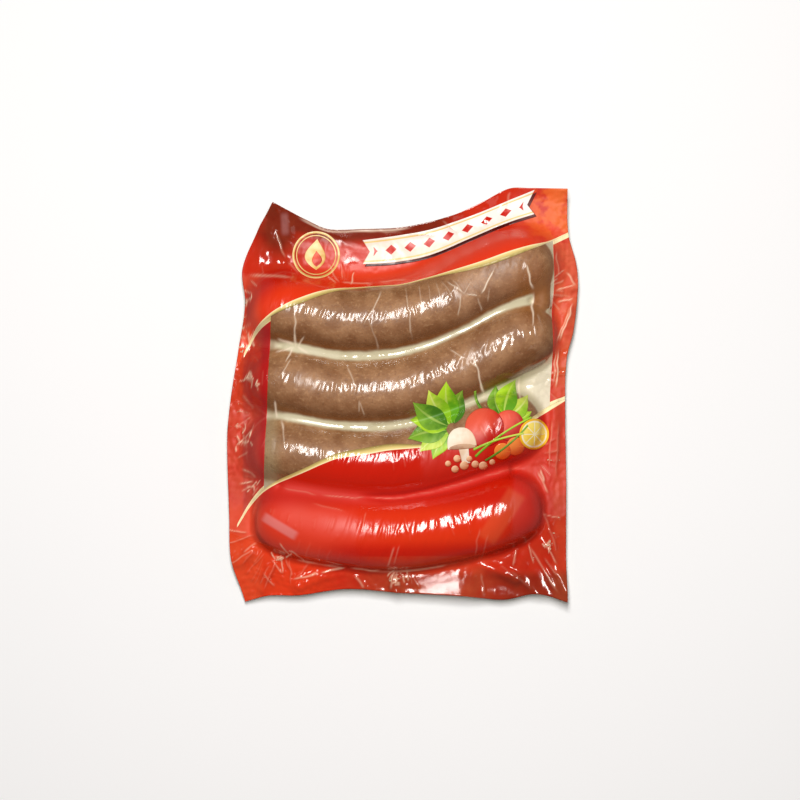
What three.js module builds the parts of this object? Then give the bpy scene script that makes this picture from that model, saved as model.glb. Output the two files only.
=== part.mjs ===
// A vacuum pack of four curved sausage links, lying on its back with the printed face up.
// Two webs of film are drawn tight over the links and sealed together in a thin wavy flange
// all round. The pack is one closed solid: the outer form of the film with what it holds.
// Millimetres. +X runs across the pack, +Y towards its header and +Z up out of the printed face.

import * as THREE from "three";

// Driving dimensions.
const LINK_HALF_HEIGHT = 16.4; // the links are pressed a little flat
const FLAT_DEPTH = 0.8; // how far a link's underside is pressed in by the table
const LINK_CENTRE_Z = LINK_HALF_HEIGHT - FLAT_DEPTH;
const END_ROUNDNESS = 10; // exponent of the links' rounded ends: more is blunter
const FILM_BRIDGE_RADIUS = 4; // tightest hollow bend of the upper film
const BACK_BRIDGE_RADIUS = 7; // tightest hollow bend of the back film
const FLANGE_THICKNESS = 0.7; // two webs sealed together, thickened to stay one solid
const FLANGE_Z = 11; // height of the sealed flange beside the links
const FLANGE_DROOP = 2.6; // how far the flange sinks towards its outer edge
const DROOP_REACH = 20; // distance from the links over which it sinks
const SAMPLE_STEP = 1.2; // spacing of the grid on which the film is drawn tight
const SAMPLE_HALF_SIZE = { x: 96, y: 112 };

// Centre lines of the links from left to right, seen from above, with their half widths.
const LINKS = [
  {
    halfWidth: 17.4,
    line: [[-76, 45.5], [-51, 41], [-28.5, 37], [-1, 38.8], [21.5, 46], [39, 56], [56.5, 63.5], [75.5, 67]],
  },
  {
    halfWidth: 17.4,
    line: [[-76, 10.5], [-51, 5.5], [-28.5, 1.8], [-1, 3.5], [21.5, 10.5], [39, 19], [56.5, 28], [75.5, 36]],
  },
  {
    halfWidth: 17.2,
    line: [[-76, -24], [-59.5, -27.5], [-31, -32.2], [-3.5, -32.8], [21.5, -27], [41.5, -19.5], [68, -10]],
  },
  {
    halfWidth: 17.6,
    line: [[-72.5, -57], [-59.5, -61], [-42, -65], [-8.5, -69.2], [20, -66], [48, -58.5], [67.5, -50]],
  },
];

// The twisted casing that joins the two upper links at their right ends.
const TWIST = { from: [69.5, 57], to: [69.5, 46], halfWidth: 4.6, halfHeight: 6.5 };

// The pack's outline as four edges. The sides give x at y, the top and bottom give y at x.
const LEFT_EDGE = [
  [-103.8, -79], [-99, -80.5], [-82, -86], [-62, -86.8], [-22, -87.8], [-3, -86.2],
  [25, -81.7], [46, -78.7], [63, -80.2], [81, -73], [96, -64.8],
];
const RIGHT_EDGE = [
  [-103.8, 82.7], [-82, 82], [-42, 82], [-7, 81.5], [18, 82.2], [33, 85.8], [53, 87.8],
  [65.5, 87.1], [80.5, 83.1], [103, 82.4],
];
const TOP_EDGE = [
  [-64.5, 96], [-48, 87.5], [-37, 83], [-21, 83], [0, 84], [24, 89.5], [40, 96.5],
  [53, 103.2], [64, 103.4], [82, 103],
];
const BOTTOM_EDGE = [
  [-79, -103.8], [-67, -100.6], [-52, -100.4], [-28, -97.2], [0, -99.1], [29, -100.5],
  [50.5, -102.6], [67.5, -99.7], [82.7, -103.8],
];

// Folds of the flange: each is a ridge, or a groove where its height is negative.
const FOLDS = [
  { from: [-72, 86], to: [-50, 62], halfWidth: 3.2, height: 2.2 },
  { from: [-44, 84], to: [-20, 74], halfWidth: 3.6, height: -1.6 },
  { from: [-10, 82], to: [4, 66], halfWidth: 4, height: 1.2 },
  { from: [22, 90], to: [34, 74], halfWidth: 4, height: 1.6 },
  { from: [50, 103], to: [46, 84], halfWidth: 4.5, height: -1.5 },
  { from: [88, 54], to: [76, 51], halfWidth: 2.6, height: 2 },
  { from: [86, 46], to: [78, 24], halfWidth: 2.8, height: 1.6 },
  { from: [76, -8], to: [75, -40], halfWidth: 3, height: 2.4 },
  { from: [82, -98], to: [68, -68], halfWidth: 3.2, height: 2.6 },
  { from: [70, -100], to: [58, -74], halfWidth: 3, height: 2.2 },
  { from: [42, -102], to: [38, -86], halfWidth: 3, height: -1.8 },
  { from: [-3, -99], to: [-5, -87], halfWidth: 2.8, height: 2.2 },
  { from: [-52, -96], to: [-30, -86], halfWidth: 3.2, height: 2.2 },
  { from: [-70, -98], to: [-62, -78], halfWidth: 3, height: 1.8 },
  { from: [-82, -84], to: [-68, -72], halfWidth: 3, height: 1.8 },
  { from: [-86, -18], to: [-78, -12], halfWidth: 3, height: 1.6 },
  { from: [-84, 22], to: [-78, 30], halfWidth: 3, height: 1.6 },
];

// Corners that curl: the tip, the distance over which the film bends, and the tip's lift.
const CORNER_CURLS = [
  { tip: [-64.5, 96], reach: 30, lift: 9 },
  { tip: [82, 103], reach: 34, lift: 4 },
  { tip: [-78.5, -103.5], reach: 24, lift: -4 },
  { tip: [82.5, -103.5], reach: 24, lift: 4 },
];
// The header's edge curls up between its two corners.
const HEADER_CURL = { reach: 9, lift: 3.2 };

// The solid's grid: rows in each lane from the bottom edge to the top, columns from left to right.
const FLANGE_ROWS = { bottom: 5, top: 9 };
const LINK_ROWS = 12;
const COLUMN_RUNS = [
  { count: 11, width: 2.4 },
  { count: 14, width: 8 },
  { count: 13, width: 2.7 },
];
const PLACING_ROUNDS = 14; // turns of the search for where a row crosses a column

const clamp = THREE.MathUtils.clamp;
const smooth = THREE.MathUtils.smoothstep;

// A smooth function through points [t, value], straight beyond the first and the last.
function curveThrough(points) {
  const slopeBetween = (a, b) => (b[1] - a[1]) / (b[0] - a[0]);
  const slopes = points.map((point, i) => {
    const before = points[Math.max(i - 1, 0)];
    const after = points[Math.min(i + 1, points.length - 1)];
    return slopeBetween(before, after);
  });
  return (t) => {
    const last = points.length - 1;
    if (t <= points[0][0]) return points[0][1] + slopes[0] * (t - points[0][0]);
    if (t >= points[last][0]) return points[last][1] + slopes[last] * (t - points[last][0]);
    const i = points.findIndex((point) => point[0] > t) - 1;
    const span = points[i + 1][0] - points[i][0];
    const u = (t - points[i][0]) / span;
    return (
      points[i][1] * (1 + 2 * u) * (1 - u) ** 2 +
      points[i + 1][1] * u * u * (3 - 2 * u) +
      slopes[i] * span * u * (1 - u) ** 2 +
      slopes[i + 1] * span * u * u * (u - 1)
    );
  };
}

// A link's centre line cut into short straight steps, with the length along it at each.
function tracedLine(points) {
  const heightAt = curveThrough(points);
  const steps = 48;
  const start = points[0][0];
  const end = points[points.length - 1][0];
  const traced = [];
  let along = 0;
  for (let i = 0; i <= steps; i++) {
    const x = start + ((end - start) * i) / steps;
    const y = heightAt(x);
    if (i > 0) along += Math.hypot(x - traced[i - 1].x, y - traced[i - 1].y);
    traced.push({ x, y, along });
  }
  return traced;
}

// How far a point is along a traced line, from its middle, and how far it is off to the side.
function placeBeside(traced, x, y) {
  const length = traced[traced.length - 1].along;
  let best = { along: 0, off: Infinity };
  for (let i = 1; i < traced.length; i++) {
    const a = traced[i - 1];
    const b = traced[i];
    const step = b.along - a.along;
    const ux = (b.x - a.x) / step;
    const uy = (b.y - a.y) / step;
    const forward = (x - a.x) * ux + (y - a.y) * uy;
    const low = i === 1 ? -Infinity : 0;
    const high = i === traced.length - 1 ? Infinity : step;
    const held = clamp(forward, low, high);
    const off = Math.hypot(x - a.x - ux * held, y - a.y - uy * held);
    if (off < best.off) best = { along: a.along + held - length / 2, off };
  }
  return best;
}

const traces = LINKS.map((link) => tracedLine(link.line));

// Height of the links above their middle plane, 0 where there is none.
function contentsHeight(x, y) {
  let height = 0;
  LINKS.forEach((link, i) => {
    const { along, off } = placeBeside(traces[i], x, y);
    const halfLength = traces[i][traces[i].length - 1].along / 2;
    const room = 1 - (off / link.halfWidth) ** 2 - Math.abs(along / halfLength) ** END_ROUNDNESS;
    if (room > 0) height = Math.max(height, LINK_HALF_HEIGHT * Math.sqrt(room));
  });
  const twistOff = distanceToSegment(TWIST.from, TWIST.to, x, y).off;
  const twistRoom = 1 - (twistOff / TWIST.halfWidth) ** 2;
  if (twistRoom > 0) height = Math.max(height, TWIST.halfHeight * Math.sqrt(twistRoom));
  return height;
}

// Distance of a point from a straight segment, and its place along it from 0 to 1.
function distanceToSegment(from, to, x, y) {
  const dx = to[0] - from[0];
  const dy = to[1] - from[1];
  const share = clamp(((x - from[0]) * dx + (y - from[1]) * dy) / (dx * dx + dy * dy), 0, 1);
  return { off: Math.hypot(x - from[0] - dx * share, y - from[1] - dy * share), share };
}

// Distance outwards from the nearest link, 0 over a link.
function distanceFromLinks(x, y) {
  let nearest = Infinity;
  LINKS.forEach((link, i) => {
    const { along, off } = placeBeside(traces[i], x, y);
    const halfLength = traces[i][traces[i].length - 1].along / 2;
    const past = Math.max(Math.abs(along) - (halfLength - link.halfWidth), 0);
    nearest = Math.min(nearest, Math.hypot(past, off) - link.halfWidth);
  });
  return Math.max(nearest, 0);
}

const topEdge = curveThrough(TOP_EDGE);
const bottomEdge = curveThrough(BOTTOM_EDGE);
const leftEdge = curveThrough(LEFT_EDGE);
const rightEdge = curveThrough(RIGHT_EDGE);

// Middle height of the flange before its folds.
function flangeHeight(x, y) {
  let z = FLANGE_Z - FLANGE_DROOP * smooth(distanceFromLinks(x, y), 0, DROOP_REACH);
  for (const { tip, reach, lift } of CORNER_CURLS) {
    const near = 1 - Math.hypot(x - tip[0], y - tip[1]) / reach;
    z += lift * clamp(near, 0, 1) ** 1.6;
  }
  const intoHeader = clamp(1 - (topEdge(x) - y) / HEADER_CURL.reach, 0, 1);
  return z + HEADER_CURL.lift * intoHeader ** 2;
}

// Folds added to both faces of the flange, fading out where the film lies on a link.
function foldHeight(x, y) {
  const fade = smooth(distanceFromLinks(x, y), 1, 9);
  return FOLDS.reduce((sum, { from, to, halfWidth, height }) => {
    const { off, share } = distanceToSegment(from, to, x, y);
    return sum + height * (1 - 0.6 * share) * Math.exp(-((off / halfWidth) ** 2)) * fade;
  }, 0);
}

// A grid of samples over the pack, read back at any point by blending four neighbours.
function sampled(heightAt) {
  const columns = Math.round((2 * SAMPLE_HALF_SIZE.x) / SAMPLE_STEP) + 1;
  const rows = Math.round((2 * SAMPLE_HALF_SIZE.y) / SAMPLE_STEP) + 1;
  const values = new Float64Array(columns * rows);
  for (let j = 0; j < rows; j++)
    for (let i = 0; i < columns; i++)
      values[j * columns + i] = heightAt(
        i * SAMPLE_STEP - SAMPLE_HALF_SIZE.x,
        j * SAMPLE_STEP - SAMPLE_HALF_SIZE.y,
      );
  return { columns, rows, values };
}

function readGrid(grid, x, y) {
  const gx = clamp((x + SAMPLE_HALF_SIZE.x) / SAMPLE_STEP, 0, grid.columns - 1.001);
  const gy = clamp((y + SAMPLE_HALF_SIZE.y) / SAMPLE_STEP, 0, grid.rows - 1.001);
  const i = Math.floor(gx);
  const j = Math.floor(gy);
  const at = (di, dj) => grid.values[(j + dj) * grid.columns + i + di];
  const low = at(0, 0) + (at(1, 0) - at(0, 0)) * (gx - i);
  const high = at(0, 1) + (at(1, 1) - at(0, 1)) * (gx - i);
  return low + (high - low) * (gy - j);
}

// One pass of a round bowl along the rows or the columns: the highest reach of sign 1, or the
// deepest fit of sign -1.
function rollBowl(grid, radius, sign, alongRows) {
  const reach = Math.ceil((2 * radius) / SAMPLE_STEP);
  const made = new Float64Array(grid.values.length);
  for (let j = 0; j < grid.rows; j++)
    for (let i = 0; i < grid.columns; i++) {
      let best = -Infinity;
      for (let k = -reach; k <= reach; k++) {
        const ii = alongRows ? clamp(i + k, 0, grid.columns - 1) : i;
        const jj = alongRows ? j : clamp(j + k, 0, grid.rows - 1);
        const depth = (k * SAMPLE_STEP) ** 2 / (2 * radius);
        best = Math.max(best, sign * grid.values[jj * grid.columns + ii] - depth);
      }
      made[j * grid.columns + i] = sign * best;
    }
  return { ...grid, values: made };
}

// Film drawn tight over a surface: it bridges every hollow that a bowl of that radius can't enter.
function drawnTight(grid, radius) {
  let film = rollBowl(rollBowl(grid, radius, 1, true), radius, 1, false);
  film = rollBowl(rollBowl(film, radius, -1, true), radius, -1, false);
  return film;
}

// Heights of the upper film and of the back film, which share the flange.
function filmHeights() {
  const half = FLANGE_THICKNESS / 2;
  const upper = sampled((x, y) => {
    const contents = contentsHeight(x, y);
    return Math.max(flangeHeight(x, y) + half, contents > 0 ? LINK_CENTRE_Z + contents : 0);
  });
  // The back film is worked out upside down, so that the same bowl draws it tight.
  const back = sampled((x, y) => {
    const contents = contentsHeight(x, y);
    const underside = contents > 0 ? Math.max(LINK_CENTRE_Z - contents, 0) : Infinity;
    return -Math.min(flangeHeight(x, y) - half, underside);
  });
  return { upper: drawnTight(upper, FILM_BRIDGE_RADIUS), back: drawnTight(back, BACK_BRIDGE_RADIUS) };
}

const linkLines = LINKS.map((link) => curveThrough(link.line));

// Heights in y at which the lanes between the edges and the links meet, from bottom to top.
function laneBounds(x) {
  const [first, second, third, fourth] = linkLines.map((line) => line(clamp(x, -76, 76)));
  return [
    bottomEdge(x),
    fourth - LINKS[3].halfWidth - 1,
    (third + fourth) / 2,
    (second + third) / 2,
    (first + second) / 2,
    first + LINKS[0].halfWidth + 1,
    topEdge(x),
  ];
}

// Rows as a lane and a share of it: closest where the film turns down between two links.
function rowPlaces() {
  const counts = [FLANGE_ROWS.bottom, LINK_ROWS, LINK_ROWS, LINK_ROWS, LINK_ROWS, FLANGE_ROWS.top];
  const places = [];
  counts.forEach((count, lane) => {
    const flange = lane === 0 || lane === counts.length - 1;
    for (let k = 0; k < count; k++) {
      const even = k / count;
      places.push({ lane, share: flange ? even : (1 - Math.cos(Math.PI * even)) / 2 });
    }
  });
  places.push({ lane: counts.length - 1, share: 1 });
  return places;
}

// Columns as shares of the pack's width: closest over the links' round ends.
function columnShares() {
  const widths = COLUMN_RUNS.flatMap(({ count, width }) => Array(count).fill(width));
  const total = widths.reduce((sum, width) => sum + width, 0);
  let reached = 0;
  return [0, ...widths.map((width) => (reached += width) / total)];
}

// The point where a row crosses a column, found by stepping between the two.
function crossing(row, share) {
  let x = leftEdge(0) + share * (rightEdge(0) - leftEdge(0));
  let y = 0;
  for (let round = 0; round < PLACING_ROUNDS; round++) {
    const bounds = laneBounds(x);
    y = bounds[row.lane] + row.share * (bounds[row.lane + 1] - bounds[row.lane]);
    x = leftEdge(y) + share * (rightEdge(y) - leftEdge(y));
  }
  return [x, y];
}

// The pack: an upper and a lower grid split into the same triangles, joined round the rim.
function packGeometry() {
  const rows = rowPlaces();
  const shares = columnShares();
  const film = filmHeights();
  const across = shares.length;
  const layer = rows.length * across;
  const positions = new Float32Array(2 * layer * 3);
  rows.forEach((row, j) =>
    shares.forEach((share, i) => {
      const [x, y] = crossing(row, share);
      const fold = foldHeight(x, y);
      const rim = i === 0 || j === 0 || i === across - 1 || j === rows.length - 1;
      const middle = flangeHeight(x, y) + fold;
      const upper = rim ? middle + FLANGE_THICKNESS / 2 : readGrid(film.upper, x, y) + fold;
      const lower = rim ? middle - FLANGE_THICKNESS / 2 : -readGrid(film.back, x, y) + fold;
      positions.set([x, y, upper], (j * across + i) * 3);
      positions.set([x, y, Math.min(lower, upper - FLANGE_THICKNESS)], (layer + j * across + i) * 3);
    }),
  );
  const index = [];
  for (let j = 0; j + 1 < rows.length; j++)
    for (let i = 0; i + 1 < across; i++) {
      const a = j * across + i;
      const [b, c, d] = [a + 1, a + across, a + across + 1];
      index.push(a, b, d, a, d, c);
      index.push(layer + a, layer + d, layer + b, layer + a, layer + c, layer + d);
    }
  const rim = [];
  for (let i = 0; i < across; i++) rim.push(i);
  for (let j = 1; j < rows.length; j++) rim.push(j * across + across - 1);
  for (let i = across - 2; i >= 0; i--) rim.push((rows.length - 1) * across + i);
  for (let j = rows.length - 2; j > 0; j--) rim.push(j * across);
  rim.forEach((a, k) => {
    const b = rim[(k + 1) % rim.length];
    index.push(a, layer + a, layer + b, a, layer + b, b);
  });
  const geometry = new THREE.BufferGeometry();
  geometry.setAttribute("position", new THREE.BufferAttribute(positions, 3));
  geometry.setIndex(index);
  geometry.computeVertexNormals();
  return geometry;
}

// Moves a geometry so that the middle of its underside is the origin.
function stoodOnOrigin(geometry) {
  geometry.computeBoundingBox();
  const { min, max } = geometry.boundingBox;
  return geometry.translate(-(min.x + max.x) / 2, -(min.y + max.y) / 2, -min.z);
}

const printedFilm = new THREE.MeshStandardMaterial({ color: 0xd2260f, roughness: 0.25, metalness: 0 });

const pack = new THREE.Group();
const vacuumPack = new THREE.Mesh(stoodOnOrigin(packGeometry()), printedFilm);
vacuumPack.name = "vacuum_pack";
pack.add(vacuumPack);

export default pack;
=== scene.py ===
"""Dresses the vacuum pack of sausage links: two webs of film, their print and the links inside.

Lengths are millimetres in the frame of the CAD model. They become metres when a mesh is written.
"""

import logging
import math
from abc import ABC, abstractmethod
from collections.abc import Callable, Iterable, Mapping
from dataclasses import dataclass
from enum import Enum
from functools import cached_property
from typing import Any

import bmesh
import bpy
import numpy as np
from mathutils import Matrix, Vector


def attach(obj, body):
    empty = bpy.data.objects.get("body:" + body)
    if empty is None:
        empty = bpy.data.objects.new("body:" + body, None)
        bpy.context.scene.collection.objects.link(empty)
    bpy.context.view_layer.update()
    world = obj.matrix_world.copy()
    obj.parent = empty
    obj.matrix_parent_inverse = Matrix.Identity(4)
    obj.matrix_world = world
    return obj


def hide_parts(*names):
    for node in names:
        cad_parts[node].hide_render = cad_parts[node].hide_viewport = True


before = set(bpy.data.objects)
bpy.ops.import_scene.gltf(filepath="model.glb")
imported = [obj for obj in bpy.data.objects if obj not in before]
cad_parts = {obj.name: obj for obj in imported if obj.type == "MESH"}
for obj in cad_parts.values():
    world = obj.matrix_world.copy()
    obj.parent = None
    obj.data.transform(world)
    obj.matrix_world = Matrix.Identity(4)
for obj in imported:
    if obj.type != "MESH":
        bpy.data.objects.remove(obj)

LOG = logging.getLogger("vacuum_pack")
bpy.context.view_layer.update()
CAD_NODE = "vacuum_pack"
BODY = "root"
METRES = 0.001

Array = np.ndarray
Point = tuple[float, float]
PlanMap = Callable[[Array, Array], tuple[Array, Array]]

# The links and the flange, as the CAD model has them.
LINK_HALF_HEIGHT = 16.4
LINK_CENTRE_Z = LINK_HALF_HEIGHT - 0.8
END_ROUNDNESS = 10
FILM_BRIDGE_RADIUS = 4.0
EDGE_RADIUS = 1.6
BACK_BRIDGE_RADIUS = 7.0
FLANGE_Z = 11.0
FLANGE_DROOP = 2.6
DROOP_REACH = 20.0
WEB_GAP = 0.24
WEB_THICKNESS = 0.1
INK_THICKNESS = 0.02
INK_LIFT = 0.05
INK_STEP = 0.03
INK_MERGE = 0.01 * METRES
PRINT_STEP = 0.5
SAMPLE_STEP = 0.5
SAMPLE_HALF_SIZE = (96.0, 112.0)
NOISE_SIDE = 64
PLACING_ROUNDS = 26

# How the film parts from the links and is sealed at the pack's edge.
LINK_SIDE_FADE = 1.5
FOLD_START = 1.0
FOLD_FADE = 8.0
LOOSE_START = 0.5
LOOSE_FADE = 5.0
GROOVE_REACH = 8.0
GROOVE_FADE = 3.0
GROOVE_END_X = 64.0
GROOVE_END_FADE = 6.0
SEAL_INSET = 0.3
SEAL_FADE = 3.0
BACK_FOLLOW_FADE = 3.0
SHARP_EDGE_GAIN = 3.0
SHARP_EDGE_ROUNDS = 20
CROSSING_ROUNDS = 9
GAP_OUTSIDE_GAIN = 4.0
GAP_LIMIT = 5.0
GAP_ROUNDS = 4

# How a crease fades: beyond its width, towards its ends and across the painted glint on it.
CREASE_REACH = 3.2
CREASE_TAPER = 0.25
CREASE_POWER = 1.5
GLINT_LINE_SHARE = 0.65

# The width of a side that isn't soft.
HARD = 1e-9


def smoothstep(t: Array) -> Array:
    """Eases a number from 0 to 1, held at both ends."""
    held = np.clip(t, 0.0, 1.0)
    return held * held * (3.0 - 2.0 * held)


def distance_to_segment(start: Point, end: Point, x: Array, y: Array) -> tuple[Array, Array]:
    """Measures points against a straight segment.

    Args:
        start: One end of the segment.
        end: Its other end.
        x: The points' x.
        y: The points' y.

    Returns:
        Each point's distance from the segment, and its share of the way along it.
    """
    dx, dy = end[0] - start[0], end[1] - start[1]
    share = np.clip(((x - start[0]) * dx + (y - start[1]) * dy) / (dx * dx + dy * dy), 0.0, 1.0)
    return np.hypot(x - start[0] - dx * share, y - start[1] - dy * share), share


def polar(centre: Point, reach: float, angle: float) -> Point:
    """Gives the point at a distance and direction from another."""
    return centre[0] + reach * math.cos(angle), centre[1] + reach * math.sin(angle)


@dataclass(frozen=True)
class Zone:
    """A part of the plan with soft sides, and how much something changes there.

    Each side says where it starts and over what width it rises, or falls where the width is below 0.
    """

    amount: float
    sides_x: tuple[Point, ...] = ()
    sides_y: tuple[Point, ...] = ()

    def level(self, x: Array, y: Array) -> Array:
        """Gives the change at each point."""
        level = np.full_like(x, self.amount)
        for places, sides in ((x, self.sides_x), (y, self.sides_y)):
            for start, width in sides:
                level = level * smoothstep((places - start) / width)
        return level


@dataclass(frozen=True)
class Blot:
    """A soft oval place of the plan, and how much something changes in its middle."""

    centre: Point
    reach: Point
    amount: float
    squareness: float = 2.0

    def level(self, x: Array, y: Array) -> Array:
        """Gives the change at each point."""
        across = ((x - self.centre[0]) / self.reach[0]) ** self.squareness
        up = ((y - self.centre[1]) / self.reach[1]) ** 2
        return self.amount * np.exp(-across - up)


@dataclass(frozen=True)
class SmoothCurve:
    """A smooth function through given points, straight beyond the first and last."""

    points: tuple[Point, ...]

    def __call__(self, t: Array) -> Array:
        """Gives the curve's value at each t."""
        knots, values = np.array(self.points, float).T
        slopes = np.gradient(values, knots)
        slopes[1:-1] = (values[2:] - values[:-2]) / (knots[2:] - knots[:-2])
        held = np.clip(t, knots[0], knots[-1])
        i = np.clip(np.searchsorted(knots, held, side="right") - 1, 0, len(knots) - 2)
        span = knots[i + 1] - knots[i]
        u = (held - knots[i]) / span
        inside = (
            values[i] * (1 + 2 * u) * (1 - u) ** 2
            + values[i + 1] * u * u * (3 - 2 * u)
            + slopes[i] * span * u * (1 - u) ** 2
            + slopes[i + 1] * span * u * u * (u - 1)
        )
        return inside + (t - held) * np.where(t < held, slopes[0], slopes[-1])


def curve(*points: Point) -> SmoothCurve:
    """Makes a smooth function through points."""
    return SmoothCurve(points)


@dataclass(frozen=True)
class Noise:
    """Smooth random heights from -1 to 1 on a lattice of unit cells."""

    seed: int

    def __call__(self, x: Array, y: Array) -> Array:
        """Gives the height at each point."""
        table = np.random.default_rng(self.seed).uniform(-1.0, 1.0, (NOISE_SIDE, NOISE_SIDE))
        i, j = np.floor(x).astype(int), np.floor(y).astype(int)
        u, v = smoothstep(x - i), smoothstep(y - j)
        left, right = i % NOISE_SIDE, (i + 1) % NOISE_SIDE
        bottom, top = j % NOISE_SIDE, (j + 1) % NOISE_SIDE
        low = table[left, bottom] * (1 - u) + table[right, bottom] * u
        high = table[left, top] * (1 - u) + table[right, top] * u
        return low * (1 - v) + high * v


@dataclass(frozen=True)
class Waves:
    """Smooth random waves, with their size across and up the pack and their lean to the right."""

    seed: int
    height: float
    size: Point
    lean: float = 0.0

    def level(self, x: Array, y: Array) -> Array:
        """Gives the waves' height at each point."""
        return self.height * Noise(self.seed)((x - self.lean * y) / self.size[0], y / self.size[1])


@dataclass(frozen=True)
class Crumples:
    """Sharp-edged folds like those of crushed film, half above its middle height and half below."""

    seed: int
    depth: float
    pitch: float
    waves: int = 4

    def level(self, x: Array, y: Array) -> Array:
        """Gives the folds' height at each point."""
        rng = np.random.default_rng(self.seed)
        total = np.zeros_like(x)
        for wave in range(self.waves):
            angle = math.pi * (wave + rng.uniform(0, 0.9)) / self.waves
            warp = Waves(self.seed * 10 + wave, 0.7, (1.7 * self.pitch, 1.7 * self.pitch)).level(x, y)
            phase = (x * math.cos(angle) + y * math.sin(angle)) / (self.pitch * rng.uniform(0.8, 1.3)) + warp
            total += 2 * np.abs(phase - np.round(phase))
        return self.depth * (total / self.waves - 0.5)


@dataclass(frozen=True)
class LinkForm:
    """One sausage link seen from above: its centre line from left to right and its half width."""

    name: str
    half_width: float
    line: tuple[Point, ...]

    def trace(self) -> Array:
        """Gives rows of x, y and length so far, along the centre line."""
        x = np.linspace(self.line[0][0], self.line[-1][0], 49)
        y = SmoothCurve(self.line)(x)
        steps = np.hypot(np.diff(x), np.diff(y))
        return np.column_stack([x, y, np.concatenate([[0.0], np.cumsum(steps)])])

    @property
    def length(self) -> float:
        """The link's length along its centre line."""
        return float(self.trace()[-1, 2])

    def place(self, x: Array, y: Array) -> tuple[Array, Array]:
        """Finds where points lie beside the link.

        Args:
            x: The points' x.
            y: The points' y.

        Returns:
            The distance along the centre line from its middle, and the distance off it, positive
            towards the header.
        """
        traced = self.trace()
        best_off = np.full(np.shape(x), np.inf)
        best_along = np.zeros(np.shape(x))
        side = np.ones(np.shape(x))
        last = len(traced) - 1
        for i in range(1, last + 1):
            ax, ay, a_along = traced[i - 1]
            bx, by, b_along = traced[i]
            step = b_along - a_along
            ux, uy = (bx - ax) / step, (by - ay) / step
            forward = (x - ax) * ux + (y - ay) * uy
            held = np.clip(forward, -np.inf if i == 1 else 0.0, np.inf if i == last else step)
            across = (y - ay) * ux - (x - ax) * uy
            off = np.hypot(x - ax - ux * held, y - ay - uy * held)
            closer = off < best_off
            best_off = np.where(closer, off, best_off)
            best_along = np.where(closer, a_along + held - self.length / 2, best_along)
            side = np.where(closer, np.sign(across), side)
        return best_along, best_off * side

    def at(self, along: Array, off: Array) -> tuple[Array, Array]:
        """Gives the point that lies so far along the link from its middle and so far off it."""
        traced = self.trace()
        reached = np.clip(along + self.length / 2, 0.0, self.length)
        x = np.interp(reached, traced[:, 2], traced[:, 0])
        y = np.interp(reached, traced[:, 2], traced[:, 1])
        slope = np.gradient(traced[:, 1], traced[:, 0])
        turned = np.arctan(np.interp(reached, traced[:, 2], slope))
        beyond = along + self.length / 2 - reached
        return (
            x + beyond * np.cos(turned) - off * np.sin(turned),
            y + beyond * np.sin(turned) + off * np.cos(turned),
        )


LINKS = (
    LinkForm(
        "sausage_1",
        17.4,
        ((-76, 45.5), (-51, 41), (-28.5, 37), (-1, 38.8), (21.5, 46), (39, 56), (56.5, 63.5), (75.5, 67)),
    ),
    LinkForm(
        "sausage_2",
        17.4,
        ((-76, 10.5), (-51, 5.5), (-28.5, 1.8), (-1, 3.5), (21.5, 10.5), (39, 19), (56.5, 28), (75.5, 36)),
    ),
    LinkForm(
        "sausage_3",
        17.2,
        ((-76, -24), (-59.5, -27.5), (-31, -32.2), (-3.5, -32.8), (21.5, -27), (41.5, -19.5), (68, -10)),
    ),
    LinkForm(
        "sausage_4",
        17.6,
        ((-72.5, -57), (-59.5, -61), (-42, -65), (-8.5, -69.2), (20, -66), (48, -58.5), (67.5, -50)),
    ),
)


@dataclass(frozen=True)
class Neck:
    """The twisted casing that joins the right ends of the two upper links."""

    start: Point = (69.5, 57.0)
    end: Point = (69.5, 46.0)
    half_width: float = 4.6
    half_height: float = 6.5

    @property
    def middle(self) -> Point:
        """The point midway between its ends."""
        return (self.start[0] + self.end[0]) / 2, (self.start[1] + self.end[1]) / 2

    def distance(self, x: Array, y: Array) -> Array:
        """Gives each point's distance from the line along the neck."""
        return distance_to_segment(self.start, self.end, x, y)[0]


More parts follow.
